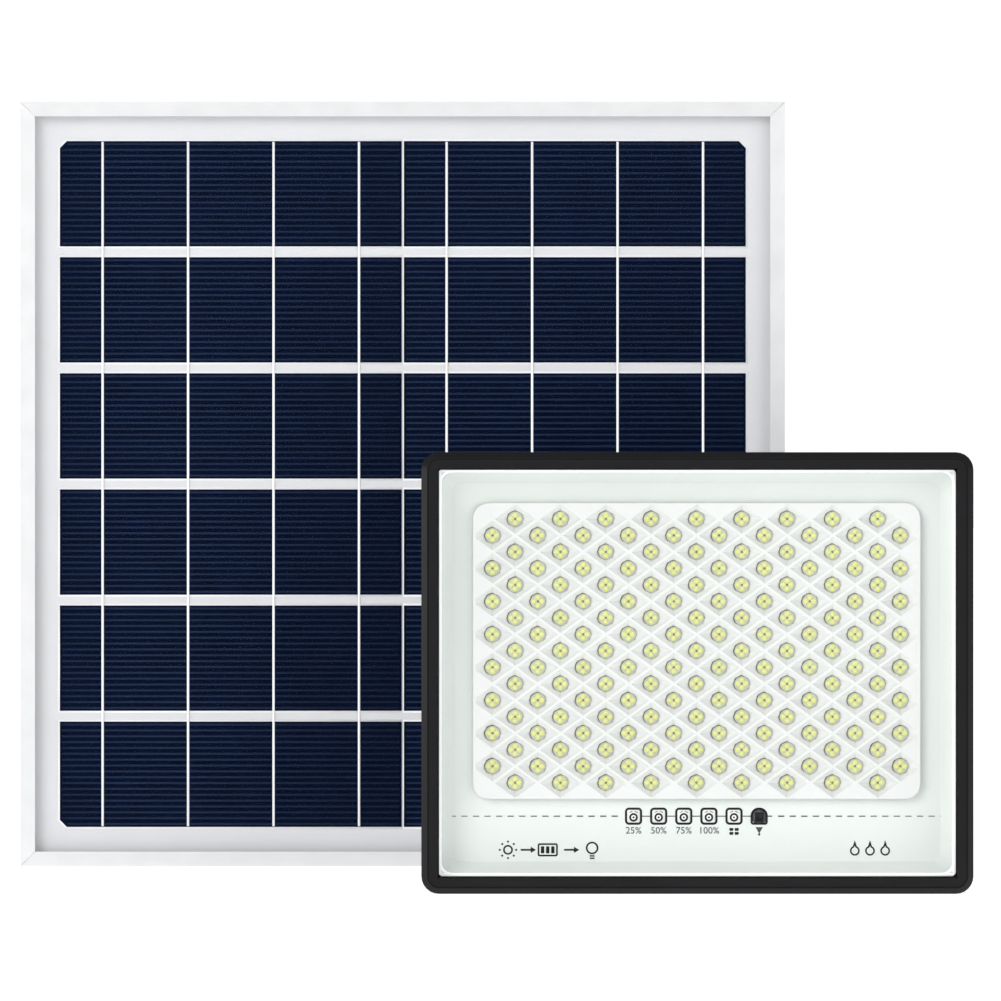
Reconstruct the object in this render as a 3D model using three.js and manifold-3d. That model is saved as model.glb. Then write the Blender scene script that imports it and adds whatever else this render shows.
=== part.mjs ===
// Solar flood light: a glass-fronted solar panel and a separate LED lamp head,
// each standing on its bottom edge and its own swinging U bracket.
// Millimetres. +X right, +Z up, -Y is the front. The origin is the middle of
// the floor footprint.

import * as THREE from 'three';
import { mergeVertices } from 'three/addons/utils/BufferGeometryUtils.js';
import Module from 'manifold-3d';

const wasm = await Module();
wasm.setup();

// ---- Overall sizes ----
const PANEL_WIDTH = 350;
const PANEL_HEIGHT = 350;
const PANEL_DEPTH = 17;
const LAMP_WIDTH = 235;
const LAMP_HEIGHT = 188;
const BEZEL_DEPTH = 20;
const LAMP_OFFSET = 128.6; // lamp centre to the right of the panel centre

// ---- Clearances ----
const SEAT_GAP = 0.1; // between faces that are clamped together
const RUN_GAP = 0.3; // around bolts, screws and turned pieces
const SWING_GAP = 7; // between the swinging lamp bracket and the panel

// ---- Solar panel ----
const FRAME_WALL = 1.6;
const FRAME_LIP = 6.7;
const FRAME_LIP_THICK = 1.5;
const FRAME_SHELF = 6;
const FRAME_SHELF_THICK = 1.4;
const FRAME_FLANGE = 14;
const FRAME_FLANGE_THICK = 1.5;
const MITRE_GAP = 0.15;
const PANEL_GLASS_THICK = 3.2;
const CELL_THICK = 0.3;
const BACKSHEET_THICK = 0.5;
const SEALANT_ROOM = 0.9;
const CELL_ROWS = 6;
const CELL_GAP = 4.95;
const CELL_MARGIN = 11;
const STRING_GAP = 1;
const BUSBARS = 4;
const BUSBAR_WIDTH = 1.05;
const CELL_CHAMFER = 3.2;
const KEY_LEG = 32;
const KEY_WIDTH = 8;
const JUNCTION_WIDTH = 60;
const JUNCTION_HEIGHT = 50;
const JUNCTION_DEPTH = 14.7;
const JUNCTION_WALL = 2.2;
const JUNCTION_RISE = 40; // above the panel centre
const LUG_THICK = 2.5;
const LUG_LENGTH = 38;
const LUG_SCREW_SPACING = 26;

// ---- Brackets ----
const BAR_WIDTH = 25;
const BAR_THICK = 2.5;
const BAR_BEND = 5;
const BRACKET_ANGLE = 30 * Math.PI / 180; // open from straight down
const PANEL_PIVOT_HEIGHT = 130;
const PANEL_PIVOT_BACK = 15; // behind the back of the frame
const LAMP_PIVOT_HEIGHT = 100;
const LAMP_PIVOT_BACK = 17; // behind the back of the housing
const BRACKET_HOLE_R = 4.25;
const BRACKET_SLOT = 12;
const BRACKET_SLOT_INSET = 28; // outer face of an arm to the slot's middle

// ---- M6 pivot hardware ----
const BOLT_R = 3;
const BOLT_HEAD_R = 5.77;
const BOLT_HEAD = 4;
const NUT_THICK = 5;
const BOLT_TAIL = 2.5;

// ---- Lamp head ----
const BEZEL_LIP = 7;
const BEZEL_LIP_THICK = 2;
const BEZEL_WALL = 4.6;
const BEZEL_R = 7.5;
const CAVITY_R = 6;
const LAMP_GLASS_THICK = 3;
const GASKET_THICK = 2.2;
const GASKET_SETBACK = 0.4; // hidden behind the lip
const TRAY_SHEET = 1.2;
const TRAY_DROP = 7.1; // flange face to floor face
const TRAY_SLOPE = 6; // inset of the floor from the opening
const TRAY_FLOOR_R = 4;
const GRID_SIDE = 15; // opening to the LED field
const GRID_TOP = 14.7;
const GRID_BOTTOM = 33;
const GRID_THICK = 4;
const GRID_SEAT = 3; // field overlapping the edge of the tray's window
const LED_ROWS = 17;
const LEDS_SHORT_ROW = 9;
const LED_SIDE = 8.3; // edge of the field to the LEDs
const LED_TOP = 6.75;
const POCKET_WALL = 1.3;
const POCKET_EDGE = 1.1; // least rim between a pocket and the field's side
const LED_WIDTH = 3.5;
const LED_HEIGHT = 2.8;
const LED_THICK = 0.8;
const BOARD_THICK = 1.6;
const SPREADER_THICK = 1.5;
const INDICATORS = 5;
const INDICATOR_PITCH = 10.75;
const INDICATOR_RISE = 25.35; // above the bottom of the opening
const HOUSING_FLANGE = 3;
const HOUSING_INSET = 10.5;
const HOUSING_ROOM = 0.9; // from the cells to the back face
const HOUSING_WALL = 2.5;
const HOUSING_R = 12;
const FIN_HEIGHT = 4;
const FIN_THICK = 2;
const FINS_PER_SIDE = 4;
const EAR_THICK = 6;
const EAR_INSET = 33; // housing side to the ear's outer face
const PORT_RISE = 34.5; // gland and button above the bottom of the housing
const BATTERY_DROP = 11.5; // battery window below the top of the housing
const BOARD_INSET = 12; // control board inside the housing's sides
const BOARD_GAP = 16; // control board below the battery holder
const CELL_18650_R = 9.2;
const CELL_18650_LENGTH = 65;
const BATTERY_CELLS = 3;
const BATTERY_GAP = 1.2;
const HOLDER_FLOOR = 1.5;
const HOLDER_WALL = 3.2;
const COVER_MARGIN = 8.5;
const COVER_THICK = 2.5;
const COVER_GASKET = 1;
const GLAND_BORE_R = 3.3;
const GLAND_THREAD_R = 6;
const BUTTON_R = 6;
const BUTTON_X = 35;
const BUTTON_TRAVEL = 1.2;
const SCREW_R = 1.6;
const SCREW_HEAD_R = 3;
const SCREW_HEAD = 2.1;
const HOLE_R = SCREW_R + RUN_GAP;

// ---- Geometry helpers ----

/** Merges the corners of a three.js shape and drops empty triangles. */
function weld(geometry) {
  const bare = geometry.clone();
  bare.deleteAttribute('normal');
  bare.deleteAttribute('uv');
  const merged = mergeVertices(bare, 1e-4);
  const index = merged.index.array;
  const kept = [];
  for (let i = 0; i < index.length; i += 3) {
    const [a, b, c] = [index[i], index[i + 1], index[i + 2]];
    if (a !== b && b !== c && c !== a) kept.push(a, b, c);
  }
  merged.setIndex(kept);
  return merged;
}

function toSolid(geometry) {
  const clean = weld(geometry);
  return new wasm.Manifold(new wasm.Mesh({
    numProp: 3,
    vertProperties: new Float32Array(clean.attributes.position.array),
    triVerts: new Uint32Array(clean.index.array),
  }));
}

function toGeometry(solid) {
  const mesh = solid.getMesh();
  const geometry = new THREE.BufferGeometry();
  geometry.setAttribute('position', new THREE.BufferAttribute(mesh.vertProperties, 3));
  geometry.setIndex(new THREE.BufferAttribute(mesh.triVerts, 1));
  return geometry;
}

function cut(base, ...tools) {
  return toGeometry(tools.reduce((body, tool) => body.subtract(toSolid(tool)), toSolid(base)));
}

function join(first, ...others) {
  return toGeometry(others.reduce((body, other) => body.add(toSolid(other)), toSolid(first)));
}

function common(first, second) {
  return toGeometry(toSolid(first).intersect(toSolid(second)));
}

/** A box between two corners. */
function block(x0, x1, y0, y1, z0, z1) {
  const box = new THREE.BoxGeometry(x1 - x0, y1 - y0, z1 - z0);
  return box.translate((x0 + x1) / 2, (y0 + y1) / 2, (z0 + z1) / 2);
}

/** A round bar along an axis; a and b are its place on the other two axes, in order. */
function rod(axis, radius, from, to, a, b, sides = 16) {
  const bar = new THREE.CylinderGeometry(radius, radius, to - from, sides);
  const middle = (from + to) / 2;
  if (axis === 'x') return bar.rotateZ(-Math.PI / 2).translate(middle, a, b);
  if (axis === 'y') return bar.translate(a, middle, b);
  return bar.rotateX(Math.PI / 2).translate(a, b, middle);
}

/** A turned piece about Y from [radius, y] pairs that run towards +Y. */
function turned(profile, sides = 16) {
  return weld(new THREE.LatheGeometry(profile.map(([r, y]) => new THREE.Vector2(r, y)), sides));
}

function polygon(points) {
  return new THREE.Shape(points.map(([x, y]) => new THREE.Vector2(x, y)));
}

/** A rounded rectangle centred on (cx, cz). */
function roundedRect(width, height, radius, cx = 0, cz = 0) {
  const [x, z] = [width / 2 - radius, height / 2 - radius];
  const shape = new THREE.Shape();
  shape.moveTo(cx - x, cz - z - radius);
  shape.lineTo(cx + x, cz - z - radius);
  shape.absarc(cx + x, cz - z, radius, -Math.PI / 2, 0);
  shape.lineTo(cx + x + radius, cz + z);
  shape.absarc(cx + x, cz + z, radius, 0, Math.PI / 2);
  shape.lineTo(cx - x, cz + z + radius);
  shape.absarc(cx - x, cz + z, radius, Math.PI / 2, Math.PI);
  shape.lineTo(cx - x - radius, cz - z);
  shape.absarc(cx - x, cz - z, radius, Math.PI, Math.PI * 1.5);
  return shape;
}

/** A shape drawn in X and Z, made solid from y0 to y1. */
function slab(shape, y0, y1) {
  const options = { depth: y1 - y0, bevelEnabled: false, curveSegments: 3 };
  const geometry = new THREE.ExtrudeGeometry(shape, options);
  return geometry.rotateX(Math.PI / 2).translate(0, y1, 0);
}

function roundedSlab(width, height, radius, y0, y1, cx = 0, cz = 0) {
  return slab(roundedRect(width, height, radius, cx, cz), y0, y1);
}

/** A rounded slab whose face at y0 is wider all round than the one at y1. */
function flaredSlab(width, height, radius, y0, y1, flare) {
  const geometry = roundedSlab(width, height, radius, y0, y1);
  const place = geometry.attributes.position;
  const growth = (radius + flare) / radius;
  for (let i = 0; i < place.count; i += 1) {
    if (Math.abs(place.getY(i) - y0) > 1e-3) continue;
    const cx = Math.sign(place.getX(i)) * (width / 2 - radius);
    const cz = Math.sign(place.getZ(i)) * (height / 2 - radius);
    place.setX(i, cx + (place.getX(i) - cx) * growth);
    place.setZ(i, cz + (place.getZ(i) - cz) * growth);
  }
  return geometry;
}

/** A cross-head screw about Y: its head's seat is at 0 and its point at -length. */
function screwGeometry(length) {
  const screw = turned([
    [0, -length], [SCREW_R * 0.6, -length], [SCREW_R, -length + 1.2], [SCREW_R, 0],
    [SCREW_HEAD_R, 0], [SCREW_HEAD_R, SCREW_HEAD * 0.5], [SCREW_HEAD_R * 0.7, SCREW_HEAD],
    [0, SCREW_HEAD],
  ], 12);
  const [arm, slot, sunk] = [SCREW_HEAD_R * 0.55, 0.45, SCREW_HEAD * 0.5];
  const cross = join(
    block(-arm, arm, sunk, SCREW_HEAD + 1, -slot, slot),
    block(-slot, slot, sunk, SCREW_HEAD + 1, -arm, arm),
  );
  return cut(screw, cross);
}

/** A hexagon-head bolt along +X: its head's seat is at 0 and its tail at +length. */
function boltGeometry(length) {
  return join(
    rod('x', BOLT_HEAD_R, -BOLT_HEAD, 0, 0, 0, 6),
    rod('x', BOLT_R, -1, length, 0, 0),
  );
}

/** A hexagon nut along +X, from 0 to its thickness. */
function nutGeometry() {
  return cut(
    rod('x', BOLT_HEAD_R, 0, NUT_THICK, 0, 0, 6),
    rod('x', BOLT_R + SEAT_GAP, -1, NUT_THICK + 1, 0, 0),
  );
}

/** A cable gland along +Y: thread behind its seat at 0, hexagon and dome in front of it. */
function glandGeometry(threadR, boreR, threadLength, hexR) {
  const hexThick = hexR * 0.5;
  const domeEnd = hexThick + hexR * 1.05;
  const dome = turned([
    [0, hexThick - 1], [hexR * 0.86, hexThick - 1], [hexR * 0.86, domeEnd - hexR * 0.4],
    [boreR + 1.2, domeEnd], [0, domeEnd],
  ]);
  const body = join(
    rod('y', hexR, 0, hexThick, 0, 0, 6),
    rod('y', threadR, -threadLength, 1, 0, 0),
    dome,
  );
  return cut(body, rod('y', boreR, -threadLength - 1, domeEnd + 1, 0, 0));
}

/**
 * A U bracket bent from flat bar. The pivots are on the local X axis, and the
 * bar's outer face is `length` below it. `span` is the width over the arms.
 */
function bracketGeometry(span, length) {
  const half = span / 2;
  const bend = (s, inner) => {
    const radius = inner ? BAR_BEND - BAR_THICK : BAR_BEND;
    const [x, z] = [half - BAR_BEND, BAR_BEND - length];
    const arc = [];
    for (let step = 0; step <= 6; step += 1) {
      const turn = (step / 6) * Math.PI / 2;
      arc.push([s * (x + radius * Math.cos(turn)), z - radius * Math.sin(turn)]);
    }
    return arc;
  };
  const top = BAR_WIDTH;
  const outline = polygon([
    [half, top],
    ...bend(1, false),
    ...bend(-1, false).reverse(),
    [-half, top],
    [BAR_THICK - half, top],
    ...bend(-1, true),
    ...bend(1, true).reverse(),
    [half - BAR_THICK, top],
  ]);
  const strip = slab(outline, -BAR_WIDTH / 2, BAR_WIDTH / 2);
  const side = join(
    block(-half - 1, half + 1, -BAR_WIDTH / 2, BAR_WIDTH / 2, -length - 1, 0),
    rod('x', BAR_WIDTH / 2, -half - 1, half + 1, 0, 0, 20),
  );
  const [below, above] = [-length - 1, 1 - length + BAR_THICK];
  const slots = [-1, 1].map((s) => {
    const x = s * (half - BRACKET_SLOT_INSET);
    const [x0, x1] = [x - BRACKET_SLOT / 2, x + BRACKET_SLOT / 2];
    return join(
      block(x0, x1, -BRACKET_HOLE_R, BRACKET_HOLE_R, below, above),
      rod('z', BRACKET_HOLE_R, below, above, x0, 0),
      rod('z', BRACKET_HOLE_R, below, above, x1, 0),
    );
  });
  return cut(
    common(strip, side),
    rod('x', BOLT_R + RUN_GAP, -half - 1, half + 1, 0, 0),
    rod('z', BRACKET_HOLE_R, below, above, 0, 0),
    ...slots,
  );
}

/** Pivot to outer face of a bracket whose lower corner meets the floor. */
function bracketLength(pivotHeight) {
  return (pivotHeight - BAR_WIDTH / 2 * Math.sin(BRACKET_ANGLE)) / Math.cos(BRACKET_ANGLE);
}

// ---- Finishes ----
const FINISHES = {
  anodised: ['#d9dadb', 0.38, 0.85],
  zinc: ['#b9bcc0', 0.35, 0.9],
  blackPaint: ['#262628', 0.45, 0.2],
  blackPlastic: ['#1c1c1e', 0.5, 0],
  panelGlass: ['#e9eff2', 0.08, 0],
  lampGlass: ['#f2f6f6', 0.05, 0],
  silicon: ['#08163a', 0.3, 0.1],
  whiteSheet: ['#e8e8ea', 0.6, 0],
  rubber: ['#151515', 0.85, 0],
  whitePlastic: ['#eef0ee', 0.4, 0],
  reflector: ['#e2e8e6', 0.3, 0],
  ledBoard: ['#f0efe6', 0.45, 0],
  aluminium: ['#c4c6c8', 0.45, 0.85],
  greenBoard: ['#1f5b3a', 0.45, 0],
  darkLens: ['#170d12', 0.1, 0],
  cellWrap: ['#2f7fb8', 0.35, 0],
  redLead: ['#b0201c', 0.5, 0],
  redButton: ['#b3261e', 0.5, 0],
};

const group = new THREE.Group();
group.name = 'solar_flood_light';

function place(parent, name, geometry, finish, x = 0, y = 0, z = 0) {
  const [color, roughness, metalness] = FINISHES[finish];
  const material = new THREE.MeshStandardMaterial({ name: finish, color, roughness, metalness });
  const mesh = new THREE.Mesh(weld(geometry), material);
  mesh.name = name;
  mesh.position.set(x, y, z);
  parent.add(mesh);
  return mesh;
}

// ---- Lamp depths, from the front of the glass to the back of the housing ----
const lampGlassY = BEZEL_LIP_THICK + RUN_GAP;
const gasketY = lampGlassY + LAMP_GLASS_THICK + SEAT_GAP;
const trayY = gasketY + GASKET_THICK + SEAT_GAP;
const floorY = trayY + TRAY_DROP;
const floorBack = floorY + TRAY_SHEET;
const ledBoardY = floorBack + RUN_GAP;
const ledBoardBack = ledBoardY + BOARD_THICK;
const spreaderY = ledBoardBack + RUN_GAP;
const spreaderBack = spreaderY + SPREADER_THICK;
const housingY = Math.max(BEZEL_DEPTH, spreaderBack) + RUN_GAP;
const holderY = housingY + 2 * RUN_GAP;
const holderFloor = holderY + HOLDER_FLOOR;
const batteryY = holderFloor + RUN_GAP + CELL_18650_R;
const housingBack = batteryY + CELL_18650_R + HOUSING_ROOM;
const batteryPitch = 2 * CELL_18650_R + BATTERY_GAP;

// ---- Layout ----
const lampLength = bracketLength(LAMP_PIVOT_HEIGHT);
const panelLength = bracketLength(PANEL_PIVOT_HEIGHT);
const lampPivotY = housingBack + LAMP_PIVOT_BACK;
const panelPivotY = PANEL_DEPTH + PANEL_PIVOT_BACK;
const lampSwingR = Math.hypot(lampLength, BAR_WIDTH / 2);
const panelReach = panelLength * Math.sin(BRACKET_ANGLE) + BAR_WIDTH / 2 * Math.cos(BRACKET_ANGLE);
const panelFront = lampPivotY + lampSwingR + SWING_GAP;
const totalDepth = panelFront + panelPivotY + panelReach;
const left = Math.min(-PANEL_WIDTH / 2, LAMP_OFFSET - LAMP_WIDTH / 2);
const right = Math.max(PANEL_WIDTH / 2, LAMP_OFFSET + LAMP_WIDTH / 2);
const centreX = (left + right) / 2;

const panel = new THREE.Group();
panel.name = 'panel_unit';
panel.position.set(-centreX, panelFront - totalDepth / 2, PANEL_HEIGHT / 2);
const lamp = new THREE.Group();
lamp.name = 'lamp_unit';
lamp.position.set(LAMP_OFFSET - centreX, -totalDepth / 2, LAMP_HEIGHT / 2);
group.add(panel, lamp);

// ---- Solar panel. Local origin: middle of the front face ----
const laminateY = FRAME_LIP_THICK + RUN_GAP;
const cellY = laminateY + PANEL_GLASS_THICK + SEAT_GAP;
const sheetY = cellY + CELL_THICK + SEAT_GAP;
const sheetBack = sheetY + BACKSHEET_THICK;
const shelfY = sheetBack + SEALANT_ROOM;
const shelfBack = shelfY + FRAME_SHELF_THICK;
const flangeY = PANEL_DEPTH - FRAME_FLANGE_THICK;
const panelPivotZ = PANEL_PIVOT_HEIGHT - PANEL_HEIGHT / 2;
const lugScrewX = PANEL_WIDTH / 2 - FRAME_FLANGE / 2;
const lugScrewZ = [-1, 1].map((s) => panelPivotZ + s * LUG_SCREW_SPACING / 2);

/** A mitred frame member: local X runs inwards, Y backwards and Z along it. */
function frameMember(length) {
  const profile = polygon([
    [0, 0], [FRAME_LIP, 0], [FRAME_LIP, FRAME_LIP_THICK], [FRAME_WALL, FRAME_LIP_THICK],
    [FRAME_WALL, shelfY], [FRAME_SHELF, shelfY], [FRAME_SHELF, shelfBack],
    [FRAME_WALL, shelfBack], [FRAME_WALL, flangeY], [FRAME_FLANGE, flangeY],
    [FRAME_FLANGE, PANEL_DEPTH], [0, PANEL_DEPTH],
  ]);
  const options = { depth: length, bevelEnabled: false };
  const member = new THREE.ExtrudeGeometry(profile, options).translate(0, 0, -length / 2);
  const corner = member.attributes.position;
  for (let i = 0; i < corner.count; i += 1) {
    const end = Math.sign(corner.getZ(i));
    corner.setZ(i, end * (length / 2 - corner.getX(i) - MITRE_GAP));
  }
  return member;
}

/** Turns a frame member about Y and sets its outer face on the panel's edge. */
function placeMember(name, geometry, turn, reach) {
  const mesh = place(panel, name, geometry, 'anodised');
  mesh.rotation.y = turn;
  mesh.position.set(-reach * Math.cos(turn), 0, reach * Math.sin(turn));
}

const lugHoles = (s) => lugScrewZ.map(
  (z) => rod('y', HOLE_R, flangeY - 1, PANEL_DEPTH + 1, FRAME_FLANGE / 2, s * z),
);
const [halfW, halfH] = [PANEL_WIDTH / 2, PANEL_HEIGHT / 2];
placeMember('panel_frame_left', cut(frameMember(PANEL_HEIGHT), ...lugHoles(1)), 0, halfW);
placeMember('panel_frame_top', frameMember(PANEL_WIDTH), Math.PI / 2, halfH);
placeMember('panel_frame_right', cut(frameMember(PANEL_HEIGHT), ...lugHoles(-1)), Math.PI, halfW);
placeMember('panel_frame_bottom', frameMember(PANEL_WIDTH), -Math.PI / 2, halfH);

const keyIn = FRAME_WALL + RUN_GAP;
const keyShape = polygon([
  [keyIn, keyIn], [keyIn + KEY_LEG, keyIn], [keyIn + KEY_LEG, keyIn + KEY_WIDTH],
  [keyIn + KEY_WIDTH, keyIn + KEY_WIDTH], [keyIn + KEY_WIDTH, keyIn + KEY_LEG],
  [keyIn, keyIn + KEY_LEG],
]);
const keyGeometry = slab(keyShape, shelfBack + RUN_GAP, flangeY - RUN_GAP);
[[-1, -1], [-1, 1], [1, 1], [1, -1]].forEach(([sx, sz], i) => {
  const key = place(panel, `corner_key_${i + 1}`, keyGeometry, 'zinc', sx * halfW, 0, sz * halfH);
  key.rotation.y = i * Math.PI / 2;
});

const sheetWidth = PANEL_WIDTH - 2 * (FRAME_WALL + RUN_GAP);
const sheetHeight = PANEL_HEIGHT - 2 * (FRAME_WALL + RUN_GAP);
const panelGlass = roundedSlab(sheetWidth, sheetHeight, 1, laminateY, laminateY + PANEL_GLASS_THICK);
place(panel, 'panel_glass', panelGlass, 'panelGlass');
place(panel, 'backsheet', roundedSlab(sheetWidth, sheetHeight, 1, sheetY, sheetBack), 'whiteSheet');

/** Six cells in a column, linked by flat ribbons. `s` is -1 for left and 1 for right. */
function cellString(s) {
  const inner = STRING_GAP / 2;
  const outer = halfW - FRAME_LIP - CELL_MARGIN;
  const arrayHeight = PANEL_HEIGHT - 2 * (FRAME_LIP + CELL_MARGIN);
  const pitch = (arrayHeight + CELL_GAP) / CELL_ROWS;
  const cellHeight = pitch - CELL_GAP;
  const width = outer - inner;
  const parts = [];
  for (let row = 0; row < CELL_ROWS; row += 1) {
    const low = row * pitch - arrayHeight / 2;
    const high = low + cellHeight;
    const lowCut = row === 0 ? CELL_CHAMFER : 0;
    const highCut = row === CELL_ROWS - 1 ? CELL_CHAMFER : 0;
    const corners = [
      [inner, low], [outer - lowCut, low], [outer, low + lowCut],
      [outer, high - highCut], [outer - highCut, high], [inner, high],
    ];
    const shape = polygon(corners.map(([x, z]) => [s * x, z]));
    parts.push(weld(slab(shape, cellY, cellY + CELL_THICK)));
    if (row === 0) continue;
    for (let bar = 0; bar < BUSBARS; bar += 1) {
      const x = s * (inner + width * (bar + 0.5) / BUSBARS);
      const [x0, x1] = [x - BUSBAR_WIDTH / 2, x + BUSBAR_WIDTH / 2];
      parts.push(block(x0, x1, cellY, cellY + CELL_THICK, low - CELL_GAP - 1, low + 1));
    }
  }
  return join(...parts);
}
place(panel, 'cell_string_left', cellString(-1), 'silicon');
place(panel, 'cell_string_right', cellString(1), 'silicon');

const junctionY = sheetBack + RUN_GAP;
const junctionBack = junctionY + JUNCTION_DEPTH;
const junctionBase = JUNCTION_RISE - JUNCTION_HEIGHT / 2;
const panelGlandR = GLAND_THREAD_R - 1;
const junctionMiddle = junctionY + JUNCTION_DEPTH / 2;
const junctionBox = cut(
  roundedSlab(JUNCTION_WIDTH, JUNCTION_HEIGHT, 4, junctionY, junctionBack, 0, JUNCTION_RISE),
  roundedSlab(
    JUNCTION_WIDTH - 2 * JUNCTION_WALL, JUNCTION_HEIGHT - 2 * JUNCTION_WALL, 2,
    junctionY + JUNCTION_WALL, junctionBack + 1, 0, JUNCTION_RISE,
  ),
  rod('z', panelGlandR + RUN_GAP, junctionBase - 1, junctionBase + JUNCTION_WALL + 1, 0, junctionMiddle),
);
place(panel, 'junction_box', junctionBox, 'blackPlastic');
const lidY = junctionBack + SEAT_GAP;
const junctionLid = join(
  roundedSlab(JUNCTION_WIDTH, JUNCTION_HEIGHT, 4, lidY, lidY + 2, 0, JUNCTION_RISE),
  roundedSlab(
    JUNCTION_WIDTH - 2 * JUNCTION_WALL - 1, JUNCTION_HEIGHT - 2 * JUNCTION_WALL - 1, 1.5,
    lidY - 2, lidY + 1, 0, JUNCTION_RISE,
  ),
);
place(panel, 'junction_box_lid', junctionLid, 'blackPlastic');
const junctionGland = glandGeometry(panelGlandR, GLAND_BORE_R, JUNCTION_WALL + 2.4, panelGlandR + 1.8);
const junctionGlandMesh = place(panel, 'junction_gland', junctionGland, 'blackPlastic');
junctionGlandMesh.rotation.x = -Math.PI / 2;
junctionGlandMesh.position.set(0, junctionMiddle, junctionBase - SEAT_GAP);

// Hinge lugs on the side members, with the bracket's arms inside them.
const lugWebOuter = halfW - FRAME_FLANGE + LUG_THICK - 0.5;
const lugWebInner = lugWebOuter - LUG_THICK;
const lugY = PANEL_DEPTH + SEAT_GAP;
const lugEar = BAR_WIDTH / 2 - 1;
function panelLug(s) {
  const [x0, x1] = s < 0 ? [-lugWebOuter, -lugWebInner] : [lugWebInner, lugWebOuter];
  const foot = s < 0 ? [1 - halfW, x1] : [x0, halfW - 1];
  const [z0, z1] = [panelPivotZ - LUG_LENGTH / 2, panelPivotZ + LUG_LENGTH / 2];
  const body = join(
    block(foot[0], foot[1], lugY, lugY + LUG_THICK, z0, z1),
    block(x0, x1, lugY, panelPivotY, panelPivotZ - lugEar, panelPivotZ + lugEar),
    rod('x', lugEar, x0, x1, panelPivotY, panelPivotZ, 20),
  );
  const holes = lugScrewZ.map((z) => rod('y', HOLE_R, lugY - 1, lugY + LUG_THICK + 1, s * lugScrewX, z));
  return cut(body, rod('x', BOLT_R + RUN_GAP, x0 - 1, x1 + 1, panelPivotY, panelPivotZ), ...holes);
}

const lugScrew = screwGeometry(7);
const lugScrewY = lugY + LUG_THICK + SEAT_GAP;
const panelArmOuter = lugWebInner - RUN_GAP;
const nut = nutGeometry();

/** A pivot bolt with its head outside |x| = seat, and its nut inside |x| = nutSeat. */
function placePivot(parent, prefix, s, seat, nutSeat, y, z) {
  const word = s < 0 ? 'left' : 'right';
  const length = seat - nutSeat + SEAT_GAP + NUT_THICK + BOLT_TAIL;
  const bolt = place(parent, `${prefix}_pivot_bolt_${word}`, boltGeometry(length), 'zinc');
  bolt.position.set(s * (seat + SEAT_GAP), y, z);
  bolt.rotation.z = s < 0 ? 0 : Math.PI;
  const nutMesh = place(parent, `${prefix}_pivot_nut_${word}`, nut, 'zinc');
  nutMesh.position.set(s * (nutSeat - SEAT_GAP), y, z);
  nutMesh.rotation.z = s < 0 ? 0 : Math.PI;
}

[-1, 1].forEach((s, i) => {
  const word = s < 0 ? 'left' : 'right';
  place(panel, `panel_lug_${word}`, panelLug(s), 'zinc');
  placePivot(panel, 'panel', s, lugWebOuter, panelArmOuter - BAR_THICK, panelPivotY, panelPivotZ);
  lugScrewZ.forEach((z, j) => {
    place(panel, `lug_screw_${2 * i + j + 1}`, lugScrew, 'zinc', s * lugScrewX, lugScrewY, z);
  });
});
const panelBracket = bracketGeometry(2 * panelArmOuter, panelLength);
const panelBracketMesh = place(panel, 'panel_bracket', panelBracket, 'zinc', 0, panelPivotY, panelPivotZ);
panelBracketMesh.rotation.x = BRACKET_ANGLE;

// ---- Lamp head. Local origin: middle of the front face ----
const openingW = LAMP_WIDTH - 2 * BEZEL_LIP;
const openingH = LAMP_HEIGHT - 2 * BEZEL_LIP;
const cavityW = LAMP_WIDTH - 2 * BEZEL_WALL;
const cavityH = LAMP_HEIGHT - 2 * BEZEL_WALL;
const fitW = cavityW - 2 * RUN_GAP;
const fitH = cavityH - 2 * RUN_GAP;
const fitR = CAVITY_R - RUN_GAP;
const screwX = LAMP_WIDTH / 2 - 4.3;
const screwZ = LAMP_HEIGHT / 2 - 4.3;
const corners = [[-1, -1], [-1, 1], [1, 1], [1, -1]];
const screwEnd = 8.5;

const bezel = cut(
  roundedSlab(LAMP_WIDTH, LAMP_HEIGHT, BEZEL_R, 0, BEZEL_DEPTH),
  roundedSlab(cavityW, cavityH, CAVITY_R, BEZEL_LIP_THICK, BEZEL_DEPTH + 1),
  block(-openingW / 2, openingW / 2, -1, BEZEL_LIP_THICK + 1, -openingH / 2, openingH / 2),
  ...corners.map(([sx, sz]) => (
    rod('y', HOLE_R, BEZEL_DEPTH - screwEnd, BEZEL_DEPTH + 1, sx * screwX, sz * screwZ, 12)
  )),
);
place(lamp, 'lamp_bezel', bezel, 'blackPaint');

const lampGlass = roundedSlab(fitW, fitH, fitR, lampGlassY, lampGlassY + LAMP_GLASS_THICK);
place(lamp, 'lamp_glass', lampGlass, 'lampGlass');
const gasketW = (fitW - openingW) / 2 - GASKET_SETBACK;
const gasket = cut(
  roundedSlab(fitW, fitH, fitR, gasketY, gasketY + GASKET_THICK),
  roundedSlab(
    fitW - 2 * gasketW, fitH - 2 * gasketW, fitR - gasketW,
    gasketY - 1, gasketY + GASKET_THICK + 1,
  ),
);
place(lamp, 'glass_gasket', gasket, 'rubber');

// The LED field sits above the middle of the opening, and the indicators below it.
const gridW = openingW - 2 * GRID_SIDE;
const gridH = openingH - GRID_TOP - GRID_BOTTOM;
const gridZ = (GRID_BOTTOM - GRID_TOP) / 2;
const ledPitchX = (gridW - 2 * LED_SIDE) / LEDS_SHORT_ROW;
const ledPitchZ = (gridH - 2 * LED_TOP) / (LED_ROWS - 1);
const indicatorZ = INDICATOR_RISE - openingH / 2;
const indicatorX = (i) => (i - INDICATORS / 2) * INDICATOR_PITCH;
const irRadius = 2.6;

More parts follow.
